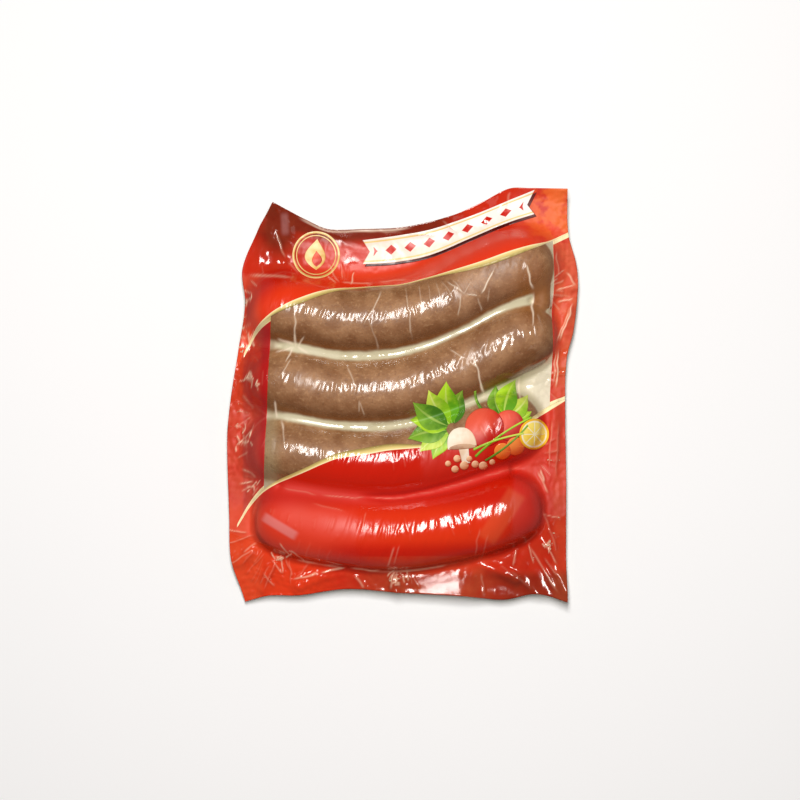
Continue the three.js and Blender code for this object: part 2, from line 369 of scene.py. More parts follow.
@dataclass(frozen=True)
class Plan:
    """The pack from above: its outline, the printed stripes and the window between them."""

    left: SmoothCurve = curve(
        (-103.8, -79), (-99, -80.5), (-82, -86), (-62, -86.8), (-22, -87.8), (-3, -86.2),
        (25, -81.7), (46, -78.7), (63, -80.2), (81, -73), (96, -64.8),
    )
    right: SmoothCurve = curve(
        (-103.8, 82.7), (-82, 82), (-42, 82), (-7, 81.5), (18, 82.2), (33, 85.8), (53, 87.8),
        (65.5, 87.1), (80.5, 83.1), (103, 82.4),
    )
    top: SmoothCurve = curve(
        (-64.5, 96), (-48, 87.5), (-37, 83), (-21, 83), (0, 84), (24, 89.5), (40, 96.5),
        (53, 103.2), (64, 103.4), (82, 103),
    )
    bottom: SmoothCurve = curve(
        (-79, -103.8), (-67, -100.6), (-52, -100.4), (-28, -97.2), (0, -99.1), (29, -100.5),
        (50.5, -102.6), (67.5, -99.7), (82.7, -103.8),
    )
    window_left: SmoothCurve = curve((-104, -71.9), (-47.5, -69.2), (38.5, -65.2), (104, -62.2))
    window_right: SmoothCurve = curve(
        (-104, 73), (-2.5, 73.8), (20, 74.9), (40, 74.5), (55, 75.6), (72.5, 75.2), (104, 75.5)
    )
    lower_stripe: SmoothCurve = curve(
        (-81, -63.5), (-77, -57), (-72, -51), (-68, -47.5), (-62, -44), (-55, -41), (-48, -38),
        (-39, -34), (-32, -31.5), (-18, -29.5), (-7, -27.5), (4, -26.5), (24, -24.5), (39, -21.5),
        (54, -17.5), (68, -11), (76, -6.5), (81.5, -3),
    )
    upper_stripe: SmoothCurve = curve(
        (-77, 25.5), (-73, 33), (-66, 40), (-58, 45), (-50, 48.5), (-41, 51.5), (-33, 53),
        (-24, 53.5), (-9, 54.5), (-1, 55), (13, 58.5), (30, 63.5), (41, 67), (52, 71), (62, 74),
        (72, 76.5), (82, 81),
    )
    lower_gold: SmoothCurve = curve(
        (-81, 0.4), (-72, 1.3), (-60, 1.7), (-48, 2), (-34, 2.6), (-18, 3.4), (-4, 3),
        (10, 1.6), (40, 1.2), (64, 2), (74, 2.6), (82, 0.7),
    )
    upper_gold: SmoothCurve = curve(
        (-77, 0.5), (-66, 1.7), (-54, 3), (-44, 2.7), (-30, 1.2), (-15, 0.5), (2, 0.6),
        (18, 1.1), (34, 2.8), (50, 3.6), (62, 2.5), (73, 0.8), (82, 0.5),
    )

    def rows(self) -> tuple[Callable[[Array], Array], ...]:
        """Gives the lines across the pack that bound its print, from bottom to top."""
        return (
            self.bottom,
            self.lower_stripe,
            lambda x: self.lower_stripe(x) + np.maximum(self.lower_gold(x), 0.3),
            lambda x: self.upper_stripe(x) - np.maximum(self.upper_gold(x), 0.3),
            self.upper_stripe,
            self.top,
        )

    def columns(self) -> tuple[Callable[[Array], Array], ...]:
        """Gives the lines up the pack that bound its print, from left to right."""
        return (self.left, self.window_left, self.window_right, self.right)

    def inset(self, x: Array, y: Array) -> Array:
        """Gives how far points lie inside the pack's outline."""
        sides = (x - self.left(y), self.right(y) - x, y - self.bottom(x), self.top(x) - y)
        return np.maximum(np.minimum.reduce(sides), 0)

    def crossings(self, across: Array, up: Array) -> tuple[Array, Array]:
        """Finds the points where lines across the pack meet lines up the pack.

        Args:
            across: Places among the columns, such as 1.5 for midway between the second and third.
            up: Places among the rows, in the same way.

        Returns:
            The points' x and y.
        """
        x = (across - 1.5) * 100.0
        y = np.zeros_like(x)
        for _ in range(PLACING_ROUNDS):
            y = between(self.rows(), up, x)
            x = between(self.columns(), across, y)
        return x, y


def between(lines: tuple[Callable[[Array], Array], ...], place: Array, t: Array) -> Array:
    """Blends the two neighbouring lines of a family at each place."""
    values = np.stack([line(t) for line in lines])
    i = np.clip(np.floor(place).astype(int), 0, len(lines) - 2)
    picked = np.take_along_axis(values, i[None, ...], 0)[0]
    following = np.take_along_axis(values, i[None, ...] + 1, 0)[0]
    return picked + (following - picked) * (place - i)


PLAN = Plan()
NECK = Neck()


@dataclass(frozen=True)
class Placed:
    """Where points lie beside one link: along it from its middle, and off its centre line."""

    link: LinkForm
    along: Array
    off: Array

    def contents(self) -> Array:
        """Gives the link's height above its middle plane, 0 where it has none."""
        ends = np.abs(2 * self.along / self.link.length) ** END_ROUNDNESS
        room = 1 - (self.off / self.link.half_width) ** 2 - ends
        return LINK_HALF_HEIGHT * np.sqrt(np.maximum(room, 0))

    def distance(self) -> Array:
        """Gives the distance outwards from the link's side, below 0 over the link."""
        past = np.maximum(np.abs(self.along) - (self.link.length / 2 - self.link.half_width), 0)
        return np.hypot(past, self.off) - self.link.half_width


def low_side(share: Array) -> Array:
    """Gives how far a place lies towards its link's lower side, from its share of the half width: the share
    of painted shade there.
    """
    return smoothstep((-share - 0.15) / 0.8)


def under_side(placed: list[Placed]) -> Array:
    """Gives how far points lie towards the lower side of their own link, from 0 to 1: the share of painted
    shade there.
    """
    sides = np.stack([place.off / place.link.half_width for place in placed])
    nearest = np.argmin(np.abs(sides), axis=0)
    return low_side(np.take_along_axis(sides, nearest[None, ...], 0)[0])


@dataclass(frozen=True)
class CornerCurl:
    """A corner of the flange that bends up or down towards its tip."""

    tip: Point
    reach: float
    lift: float

    def rise(self, x: Array, y: Array) -> Array:
        """Gives how far the corner is bent up at each point."""
        near = 1 - np.hypot(x - self.tip[0], y - self.tip[1]) / self.reach
        return self.lift * np.clip(near, 0, 1) ** 1.6


@dataclass(frozen=True)
class Fold:
    """A soft fold of the flange, highest at its outer end: a groove where height is negative."""

    start: Point
    end: Point
    half_width: float
    height: float

    def rise(self, x: Array, y: Array) -> Array:
        """Gives how far the fold lifts each point."""
        off, share = distance_to_segment(self.start, self.end, x, y)
        return self.height * (1 - 0.6 * share) * np.exp(-((off / self.half_width) ** 2))


@dataclass(frozen=True)
class Crease:
    """A sharp wrinkle of film: a ridge that fades at both ends, with a painted glint along it."""

    start: Point
    end: Point
    half_width: float = 0.7
    height: float = 0.3
    glint: float = 0.8

    def add_to(self, x: Array, y: Array, relief: Array, glint: Array) -> None:
        """Adds this wrinkle's height and painted glint to those of the points beside it."""
        reach = CREASE_REACH * self.half_width
        low_x, high_x = sorted((self.start[0], self.end[0]))
        low_y, high_y = sorted((self.start[1], self.end[1]))
        near = (x > low_x - reach) & (x < high_x + reach) & (y > low_y - reach) & (y < high_y + reach)
        if not near.any():
            return
        off, share = distance_to_segment(self.start, self.end, x[near], y[near])
        taper = smoothstep(share / CREASE_TAPER) * smoothstep((1 - share) / CREASE_TAPER)
        relief[near] += self.height * taper * np.exp(-((off / self.half_width) ** CREASE_POWER))
        # A painted glint along the crease's ridge.
        line = self.glint * taper * np.exp(-((off / (GLINT_LINE_SHARE * self.half_width)) ** 2))
        glint[near] = np.maximum(glint[near], line)


CORNER_CURLS = (
    CornerCurl((-64.5, 96), 30, 9),
    CornerCurl((82, 103), 34, 4),
    CornerCurl((-78.5, -103.5), 24, -4),
    CornerCurl((82.5, -103.5), 24, 4),
)
HEADER_CURL_REACH = 9.0
HEADER_CURL_LIFT = 3.2
FOLDS = (
    Fold((-72, 86), (-50, 62), 3.2, 2.2),
    Fold((-44, 84), (-20, 74), 3.6, -1.6),
    Fold((-10, 82), (4, 66), 4, 1.2),
    Fold((22, 90), (34, 74), 4, 1.6),
    Fold((50, 103), (46, 84), 4.5, -1.5),
    Fold((88, 54), (76, 51), 2.6, 2),
    Fold((86, 46), (78, 24), 2.8, 1.6),
    Fold((76, -8), (75, -40), 3, 2.4),
    Fold((82, -98), (68, -68), 3.2, 2.6),
    Fold((68, -101), (56, -80), 3.4, 2.4),
    Fold((57, -92.5), (36, -82.5), 2.8, 3.4),
    Fold((42, -104), (40, -92), 3, -1.4),
    Fold((-3, -99), (-5, -87), 2.8, 2.2),
    Fold((-52, -96), (-30, -86), 3.2, 2.2),
    Fold((-70, -98), (-62, -78), 3, 1.8),
    Fold((-82, -84), (-68, -72), 3, 1.8),
    Fold((-86, -18), (-78, -12), 3, 1.6),
    Fold((-84, 22), (-78, 30), 3, 1.6),
    Fold((28, -107), (-2, -107), 12, 6.0),
)


@dataclass(frozen=True)
class GlossLane:
    """The film's gloss along a link or groove: 1 where highlights show, 0 where it is dull."""

    lines: tuple[SmoothCurve, ...]
    half_width: float
    gloss: tuple[Point, ...]
    fade: float = 3.0

    def blend(self, x: Array, y: Array, gloss: Array) -> Array:
        """Puts the lane's gloss in place of that around it."""
        middle = sum(line(x) for line in self.lines) / len(self.lines)
        inside = smoothstep((self.half_width - np.abs(y - middle)) / self.fade)
        places, levels = np.array(self.gloss, float).T
        return gloss + inside * (np.interp(x, places, levels) - gloss)


@dataclass(frozen=True)
class GlossPatch:
    """An oval patch of film with its own gloss."""

    centre: Point
    reach: Point
    gloss: float
    fade: float = 0.4

    def blend(self, x: Array, y: Array, gloss: Array) -> Array:
        """Puts the patch's gloss in place of that around it."""
        off = np.hypot((x - self.centre[0]) / self.reach[0], (y - self.centre[1]) / self.reach[1])
        return gloss + smoothstep((1 - off) / self.fade) * (self.gloss - gloss)


LINK_LINES = tuple(SmoothCurve(link.line) for link in LINKS)
GLOSS = (
    GlossLane(
        LINK_LINES[:1],
        17,
        (
            (-66, 0.3), (-61, 0.7), (-55, 0.5), (-51, 1), (-34, 1), (-28, 0.8), (-2, 0.75), (14, 0.8),
            (24, 0.7), (30, 0.15), (56, 0.1), (59, 0.7), (62, 0.6), (66, 0),
        ),
    ),
    GlossLane(
        LINK_LINES[1:2],
        17,
        (
            (-67, 0.9), (-56, 0.9), (-52, 0.4), (-44, 0.5), (-39, 0.8), (26, 0.8), (31, 0.4),
            (36, 0.6), (44, 0.6), (48, 1), (64, 1), (67, 0.1),
        ),
    ),
    GlossLane(
        LINK_LINES[2:3],
        17,
        (
            (-64, 0.1), (-60, 1), (-33, 1), (-28, 0.8), (7, 0.8), (11, 0.2), (40, 0.2), (44, 0.8),
            (48, 0.6), (52, 0.05),
        ),
    ),
    GlossLane(
        LINK_LINES[3:],
        18,
        ((-44, 0.05), (-24, 0.3), (-21, 0.5), (-8, 0.65), (2, 0.9), (45, 1), (52, 0.8), (56, 0.0), (66, 0.1)),
    ),
    GlossLane(LINK_LINES[:2], 4.5, ((-32, 0.1), (-26, 1), (4, 1), (10, 0.7), (62, 0.8), (66, 0.0))),
    GlossLane(LINK_LINES[1:3], 4.5, ((-62, 0.4), (-42, 0.6), (-36, 1), (2, 1), (8, 0.15))),
    GlossLane(LINK_LINES[2:], 5.5, ((-70, 0.0), (70, 0.0))),
    GlossPatch((70, 93), (24, 18), 0.1),
    GlossPatch((-43, 69), (18, 16), 0.25),
    GlossPatch((-17, 76), (16, 12), 0.3),
    GlossPatch((28, 72), (44, 16), 0.35),
    GlossPatch((69.5, 51), (8, 12), 0.0),
    GlossPatch((-12, 61), (30, 7), 0.3),
)


@dataclass(frozen=True)
class Sheen:
    """A straight-sided patch of film with a painted reflection of something pale."""

    start: Point
    end: Point
    half_width: float
    strength: float
    softness: float
    end_softness: float = 3.0

    def level(self, x: Array, y: Array) -> Array:
        """Gives how strong the painted reflection is at each point."""
        length = math.dist(self.start, self.end)
        ux, uy = (self.end[0] - self.start[0]) / length, (self.end[1] - self.start[1]) / length
        along = (x - self.start[0]) * ux + (y - self.start[1]) * uy
        off = np.abs((y - self.start[1]) * ux - (x - self.start[0]) * uy)
        inside = smoothstep((self.half_width - off) / self.softness)
        ends = smoothstep(along / self.end_softness) * smoothstep((length - along) / self.end_softness)
        return self.strength * inside * ends


def total_level(parts: Iterable[Zone | Blot | Sheen], x: Array, y: Array) -> Array:
    """Adds up the changes of several places."""
    return sum(part.level(x, y) for part in parts)


# Painted reflections of pale things, on the lowest link's ends and at the top-left corner.
SHEENS = (
    Sheen((57.5, -47), (40.5, -73), 6.0, 0.13, 2.4),
    Sheen((-70, -59.5), (-51.5, -70.5), 2.8, 0.32, 1.2),
    Sheen((-59, 92), (-58.5, 79), 2.8, 0.2, 2.2),
)

# Creases that cross the links, from groove to groove, and those of the flange.
CROSSING_CREASES = tuple(
    Crease(*row)
    for row in (
        ((-53, 43), (-53, 23), 0.8, 0.3, 0.8), ((-10, 52), (-20, 33), 0.7, 0.25, 0.8),
        ((-17, 40), (-12, 22), 0.7, 0.2, 0.5), ((1.5, 54), (5, 26), 0.7, 0.28, 0.7),
        ((16.5, 57), (19, 47), 0.6, 0.2, 0.5), ((21.5, 57), (31, 50), 0.7, 0.3, 0.9),
        ((31, 50), (38, 48.5), 0.7, 0.35, 0.9), ((38, 48.5), (46, 63.5), 0.8, 0.35, 1.0),
        ((29, 51.5), (27.5, 38), 0.7, 0.25, 0.7), ((37, 48.5), (39.5, 41), 0.6, 0.2, 0.6),
        ((43, 54), (42, 45), 0.6, 0.18, 0.5), ((8, 55), (10, 43), 0.5, 0.18, 0.6),
        ((12.5, 56), (14, 44), 0.5, 0.18, 0.55), ((19, 57), (26, 47), 0.5, 0.2, 0.7),
        ((24, 58.5), (33, 47), 0.5, 0.2, 0.6), ((27, 55), (20, 46), 0.5, 0.18, 0.6),
        ((34, 57), (30, 49), 0.5, 0.2, 0.6), ((-53, 25), (-63, 28), 0.6, 0.2, 0.7),
        ((-53, 24), (-64, 21), 0.6, 0.2, 0.7), ((-53, 25), (-46, 20), 0.6, 0.2, 0.7),
        ((-54, 24), (-59, 15), 0.6, 0.2, 0.7), ((-52, 24), (-48, 30), 0.6, 0.2, 0.5),
        ((60.5, 66), (65, 51.5), 0.8, 0.35, 1.0), ((65, 51.5), (64, 31.5), 0.7, 0.28, 0.9),
        ((22.5, 23.5), (32.5, 17), 0.7, 0.28, 0.8), ((32.5, 17), (38, 13), 0.8, 0.35, 1.0),
        ((35, 20.5), (41, -2), 0.8, 0.32, 1.0), ((58, 9.5), (58.5, -3), 0.7, 0.25, 0.8),
        ((-28, 15), (-23, 3.5), 0.7, 0.25, 0.7), ((-55, 18.5), (-61, 9), 0.7, 0.25, 0.7),
        ((-63, -1.5), (-62.5, -12), 0.7, 0.25, 0.8), ((-60, -11), (-58, -28), 0.7, 0.25, 0.7),
        ((-21, -1.5), (-21.5, -9), 0.6, 0.2, 0.7), ((-21, -2), (-18.5, -11), 0.6, 0.2, 0.7),
        ((-62, -45.8), (-40, -49.9), 0.6, 0.2, 0.5), ((-42, -49.6), (-16, -51.5), 0.6, 0.2, 0.55),
        ((-18, -51.4), (4, -51), 0.6, 0.2, 0.5), ((0, -50.6), (18, -47.3), 0.6, 0.2, 0.35),
        ((15, -47.8), (40, -41), 0.6, 0.2, 0.4), ((38, -41.5), (61, -34.8), 0.6, 0.2, 0.45),
        ((-46, -53), (-27, -58), 0.6, 0.2, 0.45), ((-18, -57), (-20, -66), 0.7, 0.22, 0.4),
        ((-3.5, -74), (-8.5, -87), 1.0, 0.4, 0.5), ((-1, -73), (-5, -86), 0.8, 0.3, 0.4),
        ((38.5, -64), (35.5, -82), 0.9, 0.3, 0.35), ((43, -67), (38.5, -84), 0.8, 0.25, 0.3),
        ((-50, -71), (-53, -79), 0.8, 0.25, 0.15), ((-45, -72), (-49, -82), 0.8, 0.3, 0.2),
        ((-40, -74), (-43, -83), 0.7, 0.25, 0.15), ((-35, -75), (-39, -85), 0.8, 0.3, 0.2),
        ((-30, -77), (-33, -85), 0.7, 0.25, 0.15),
    )
)
FLANGE_CREASES = tuple(
    Crease(*row)
    for row in (
        ((-64, 83), (-58, 67.5), 1.0, 0.9, 0.55), ((-58, 67.5), (-51, 60), 1.0, 0.8, 0.45),
        ((-79, 60.5), (-52, 58.5), 1.5, 0.7, 0.7), ((-60, 92), (-54, 76), 1.4, 0.8, 0.1),
        ((-32, 56.5), (-14, 56), 0.8, 0.5, 0.7), ((-14, 56), (4, 58), 0.8, 0.5, 0.6),
        ((-27, 82), (2, 81.5), 0.9, 0.6, 0.6), ((2, 81.5), (18, 79), 0.9, 0.5, 0.5),
        ((19, 88), (29, 80), 1.1, 0.6, 0.5), ((54, 102), (52, 92), 1.0, 0.5, 0.5),
        ((76.5, 52.5), (87, 55.5), 0.9, 0.8, 0.9), ((81.5, 62), (87.5, 54), 0.8, 0.5, 0.9),
        ((86, 47.5), (78, 25), 0.8, 0.7, 1.0), ((78, 25), (77, 2), 0.8, 0.6, 1.0),
        ((84, 45), (76.5, 24), 0.7, 0.5, 0.9), ((76.5, 24), (75.5, 4), 0.7, 0.4, 0.8),
        ((77, 46), (86, 49), 0.8, 0.5, 0.9), ((76.5, 73), (78.5, 58), 0.8, 0.5, 0.6),
        ((75, -9), (73, -40), 0.8, 0.5, 0.5), ((78, -10), (77, -45), 0.8, 0.5, 0.4),
        ((67, -37), (74, -50), 1.0, 0.8, 0.7), ((69, -55), (78, -80), 1.1, 0.9, 0.4),
        ((62, -73), (79, -101), 1.0, 0.9, 0.6), ((70, -80), (79, -92), 0.9, 0.7, 0.5),
        ((52, -86), (66, -98), 1.2, 0.8, 0.3), ((48, -84), (57, -92), 1.0, 0.6, 0.3),
        ((39, -88), (41, -101), 1.0, 0.6, 0.4), ((-4, -86.5), (-6, -98), 1.0, 0.9, 0.7),
        ((-56, -93), (-40, -88.5), 0.9, 0.9, 0.8), ((-42, -88.8), (-27, -86), 0.9, 0.9, 0.9),
        ((-28, -86), (-8, -88.5), 0.9, 0.6, 0.8), ((-24, -90), (-19, -97), 1.2, 0.8, 0.6),
        ((-4, -87), (-8, -91), 0.6, 0.4, 0.9), ((-2, -88), (3, -92), 0.6, 0.4, 0.9),
        ((-62, -72), (-55, -82), 0.6, 0.5, 0.9), ((-57, -76), (-47, -84), 0.6, 0.4, 0.9),
        ((-66, -82), (-60, -90), 0.7, 0.5, 0.7), ((-70, -88), (-64, -97), 0.8, 0.6, 0.6),
        ((-46, -83), (-54, -93), 1.0, 0.7, 0.35),
    )
)


@dataclass(frozen=True)
class WrinkleFan:
    """Wrinkles that spread from one place of the seal towards the pack's edge."""

    centre: Point
    first_angle: float
    last_angle: float
    count: int
    inner: float
    outer: float
    seed: int
    height: float = 0.6

    def creases(self) -> list[Crease]:
        """Draws the fan's wrinkles, each a little out of order."""
        rng = np.random.default_rng(self.seed)
        made = []
        for angle in np.linspace(self.first_angle, self.last_angle, self.count):
            turned = math.radians(angle + rng.uniform(-7, 7))
            near = self.inner * rng.uniform(0.7, 1.2)
            far = near + (self.outer - self.inner) * rng.uniform(0.55, 1.1)
            bend = rng.uniform(-0.12, 0.12)
            start, end = polar(self.centre, near, turned), polar(self.centre, far, turned + bend)
            size = rng.uniform(0.6, 1.2)
            made.append(Crease(start, end, 0.75 * size, self.height * size, rng.uniform(0.2, 0.95)))
        return made


@dataclass(frozen=True)
class CrinkleKnot:
    """A crushed place of the film: short sharp wrinkles that turn at random."""

    centre: Point
    reach: Point
    count: int
    seed: int

    def creases(self) -> list[Crease]:
        """Draws the wrinkles as one wandering line and a few strays."""
        rng = np.random.default_rng(self.seed)
        made = []
        end = self.centre
        for number in range(self.count):
            start = end if number % 4 else self.spot(rng)
            toward = self.spot(rng)
            share = min(1.0, rng.uniform(2.5, 6.0) / max(math.dist(start, toward), 0.1))
            end = (start[0] + share * (toward[0] - start[0]), start[1] + share * (toward[1] - start[1]))
            width = rng.uniform(0.45, 0.75)
            made.append(Crease(start, end, width, rng.uniform(0.4, 0.8), rng.uniform(0.85, 1.15)))
        return made

    def spot(self, rng: np.random.Generator) -> Point:
        """Picks a point of the crushed place."""
        offset = rng.uniform(-1, 1, 2) * self.reach
        return float(self.centre[0] + offset[0]), float(self.centre[1] + offset[1])


KNOTS = (
    CrinkleKnot((-76.5, 8.5), (6.5, 8.5), 15, 31),
    CrinkleKnot((-79, -21), (6.5, 9), 14, 32),
    CrinkleKnot((-75, 27), (2.5, 9), 7, 33),
    CrinkleKnot((-76.5, 44), (2.0, 6), 5, 34),
    CrinkleKnot((-76, -48), (6, 7), 6, 35),
    CrinkleKnot((-58, -80), (9, 4.5), 10, 36),
    CrinkleKnot((-3, -91), (4, 4), 7, 37),
    CrinkleKnot((73, -75), (4, 9), 6, 38),
)
FANS = (
    WrinkleFan((-60, -66), 195, 285, 15, 17, 34, 11),
    WrinkleFan((-62, 45), 120, 215, 9, 14, 24, 12, 0.45),
    WrinkleFan((-74, 27), 130, 235, 6, 3, 13, 13, 0.5),
    WrinkleFan((-72, -10), 120, 240, 6, 3, 15, 14, 0.5),
    WrinkleFan((-70, -43), 120, 240, 7, 3, 16, 15, 0.5),
    WrinkleFan((-72, -26), 140, 220, 3, 2, 13, 17, 0.45),
    WrinkleFan((56, -58), 275, 345, 5, 17, 32, 18, 0.7),
    WrinkleFan((68, 52), -35, 40, 7, 7, 17, 19, 0.45),
    WrinkleFan((66, 8), -50, 25, 6, 8, 16, 20, 0.4),
    WrinkleFan((64, -30), -60, 30, 8, 8, 17, 21, 0.45),
    WrinkleFan((-28, 50), 70, 130, 6, 6, 20, 22, 0.3),
    WrinkleFan((0, -76), 250, 290, 7, 12, 22, 23, 0.35),
)


@dataclass(frozen=True)
class CrestWrinkles:
    """The short wrinkles that stand across one link where the film is tightest."""

    link: LinkForm
    seed: int
    pitch: float = 2.3
    height: float = 0.2

    def creases(self) -> list[Crease]:
        """Draws the wrinkles from the link's left end to its right."""
        rng = np.random.default_rng(self.seed)
        made = []
        along = -self.link.length / 2 + 7
        tight = Noise(self.seed + 1)
        while along < self.link.length / 2 - 6:
            strength = 0.75 + 0.6 * float(tight(np.array(along / 9 + 30), np.array(7.5)))
            off = 1.5 + rng.normal(0, 1.8)
            reach = rng.uniform(1.5, 6.5) * strength
            skew = rng.uniform(-0.4, 0.55) * reach
            start = self.link.at(np.array(along - skew / 2), np.array(off - reach))
            end = self.link.at(np.array(along + skew / 2), np.array(off + reach))
            size = rng.uniform(0.3, 1.4) * strength
            made.append(
                Crease(
                    (float(start[0]), float(start[1])),
                    (float(end[0]), float(end[1])),
                    0.62 * rng.uniform(0.7, 1.5),
                    self.height * size,
                    0.22 * size,
                )
            )
            along += self.pitch * rng.uniform(0.3, 1.9)
        return made


class Web(Enum):
    """The two webs of film."""

    FACE = 1
    BACK = -1


# Where the face web is eased over the links' edges, and where it is crushed more or less.
SOFT_EDGES = (Zone(1.0, ((-58, -6),), ((-56, 6), (66, -6))), Zone(1.0, (), ((44, 8),)))
CALM_HEADER = Zone(0.6, ((-40, 10), (50, -20)), ((40, 10),))
SMOOTH_SEAL = Blot((20, -96), (15, 9), 0.93, 4.0)
FINE_SHARE = 0.5
FINE_SHARE_CHANGES = (
    Zone(0.9, ((-64, -6),), ((48, -10), (-52, 14))),
    Zone(0.5, ((74, 4),), ((-60, 12),)),
    Zone(0.3, ((-20, -20),), ((-80, -8),)),
    Zone(-0.35, ((34, 8),), ((-66, -8),)),
)
BROAD_CRUMPLES = Crumples(3, 1.1, 14.0)
FINE_CRUMPLES = Crumples(4, 0.75, 4.2)
STREAK_WAVES = Waves(5, 0.17, (1.9, 8), 0.3)
SKIN_WAVES = Waves(6, 0.24, (10, 16))
CREASE_WANDER = (Waves(7, 0.55, (4, 4)), Waves(8, 0.55, (4, 4)))

# The broken ridge where the film leaves the links' sides, with a painted glint along it.
RIM_OUTSIDE = 1.5
RIM_HALF_WIDTH = 0.7
RIM_HEIGHT = 0.24
RIM_GLINT = 0.25
RIM_BREAKS = Waves(9, 1.4, (8, 8))
RIM_CLEAR_OF_NECK = 9.0
BRIGHT_RIM_GLINT = Zone(0.5, ((-58, 12), (32, -12)), ((-60, -8),))
FAINT_RIM = Zone(0.8, ((6, 12),), ((40, 6),))


class DrawnFilm:
    """The heights of both webs over the pack's plan, drawn tight over the links."""

    def __init__(self) -> None:
        """Draws the webs over a grid of samples and gathers the wrinkles."""
        half_x, half_y = SAMPLE_HALF_SIZE
        self.grid_x = np.arange(-half_x, half_x + SAMPLE_STEP / 2, SAMPLE_STEP)
        self.grid_y = np.arange(-half_y, half_y + SAMPLE_STEP / 2, SAMPLE_STEP)
        x, y = np.meshgrid(self.grid_x, self.grid_y)
        placed = [Placed(link, *link.place(x, y)) for link in LINKS]
        narrow = NECK.half_height * np.sqrt(np.maximum(1 - (NECK.distance(x, y) / NECK.half_width) ** 2, 0))
        contents = np.maximum.reduce([narrow, *(place.contents() for place in placed)])
        self.outside = np.maximum(np.minimum.reduce([place.distance() for place in placed]), 0)
        # Painted shade for the film pressed on the links' lower sides.
        self.shade = under_side(placed)
        self.flank = 1 - contents / LINK_HALF_HEIGHT
        self.face, self.back = self.webs(x, y, contents)
        stands_off = np.maximum(self.face - LINK_CENTRE_Z - contents, 0) + GAP_OUTSIDE_GAIN * self.outside
        self.gap = softened(np.minimum(stands_off, GAP_LIMIT), GAP_ROUNDS)
        self.creases = [*CROSSING_CREASES, *FLANGE_CREASES]
        for knot in KNOTS:
            self.creases += knot.creases()
        self.fan_creases = [crease for fan in FANS for crease in fan.creases()]
        crests = [CrestWrinkles(link, 40 + number) for number, link in enumerate(LINKS)]
        self.crest_creases = [crease for crest in crests for crease in crest.creases()]

    def webs(self, x: Array, y: Array, contents: Array) -> tuple[Array, Array]:
        """Draws both webs tight over the links.

        Args:
            x: The samples' x.
            y: The samples' y.
            contents: The height of what is inside above its middle plane, 0 where there is nothing.

        Returns:
            The heights of the face web and of the back web.
        """
        flange = self.flange_height(x, y, self.outside)
        face = np.maximum(flange + WEB_GAP / 2, np.where(contents > 0, LINK_CENTRE_Z + contents, 0))
        under = np.where(contents > 0, np.maximum(LINK_CENTRE_Z - contents, 0), np.inf)
        back = -np.minimum(flange - WEB_GAP / 2, under)
        sharp = smoothstep(SHARP_EDGE_GAIN * softened((self.outside > 0) * 1.0, SHARP_EDGE_ROUNDS))
        for zone in SOFT_EDGES:
            sharp *= 1 - zone.level(x, y)
        crossing = softened(drawn_tight(face, FILM_BRIDGE_RADIUS), CROSSING_ROUNDS)
        face = crossing + sharp * (softened(drawn_tight(face, EDGE_RADIUS), 1) - crossing)
        return face, -drawn_tight(back, BACK_BRIDGE_RADIUS)

    @staticmethod
    def flange_height(x: Array, y: Array, outside: Array) -> Array:
        """Gives the flange's middle height before its folds.

        Args:
            x: The points' x.
            y: The points' y.
            outside: Their distance from the nearest link.

        Returns:
            The height at each point.
        """
        z = FLANGE_Z - FLANGE_DROOP * smoothstep(outside / DROOP_REACH)
        for curl in CORNER_CURLS:
            z = z + curl.rise(x, y)
        into_header = np.clip(1 - (PLAN.top(x) - y) / HEADER_CURL_REACH, 0, 1)
        return z + HEADER_CURL_LIFT * into_header**2

    def read(self, heights: Array, x: Array, y: Array) -> Array:
        """Reads a grid of samples at any points, blending nine neighbours so that slopes stay smooth."""
        gx = np.clip((x - self.grid_x[0]) / SAMPLE_STEP, 1, len(self.grid_x) - 2)
        gy = np.clip((y - self.grid_y[0]) / SAMPLE_STEP, 1, len(self.grid_y) - 2)
        i, j = np.round(gx).astype(int), np.round(gy).astype(int)
        across, up = spline_shares(gx - i), spline_shares(gy - j)
        total = np.zeros_like(gx)
        for b in range(3):
            for a in range(3):
                total += up[b] * across[a] * heights[j + b - 1, i + a - 1]
        return total

    def relief(self, x: Array, y: Array, web: Web) -> tuple[Array, Array]:
        """Works out the folds and wrinkles.

        Args:
            x: The points' x.
            y: The points' y.
            web: The web that they lie on.

        Returns:
            The height that the wrinkles add, and the painted glint along its creases.
        """
        outside = self.read(self.outside, x, y)
        total, glint = self.creased(x, y, outside)
        crushed = self.loose(x, y) * (1 - SMOOTH_SEAL.level(x, y))
        fine_share = FINE_SHARE + total_level(FINE_SHARE_CHANGES, x, y)
        crumples = BROAD_CRUMPLES.level(x, y) + fine_share * FINE_CRUMPLES.level(x, y)
        total += crushed * (1 - CALM_HEADER.level(x, y)) * crumples
        rim = self.rim(x, y, outside)
        total += RIM_HEIGHT * rim
        glint = np.maximum(glint, (RIM_GLINT + BRIGHT_RIM_GLINT.level(x, y)) * rim)
        if web is Web.FACE:
            for crease in self.crest_creases:
                crease.add_to(x, y, total, glint)
            waves = self.streaks(x, y) * STREAK_WAVES.level(x, y) + SKIN_WAVES.level(x, y)
            total += (1 - crushed) * waves
        return total, glint

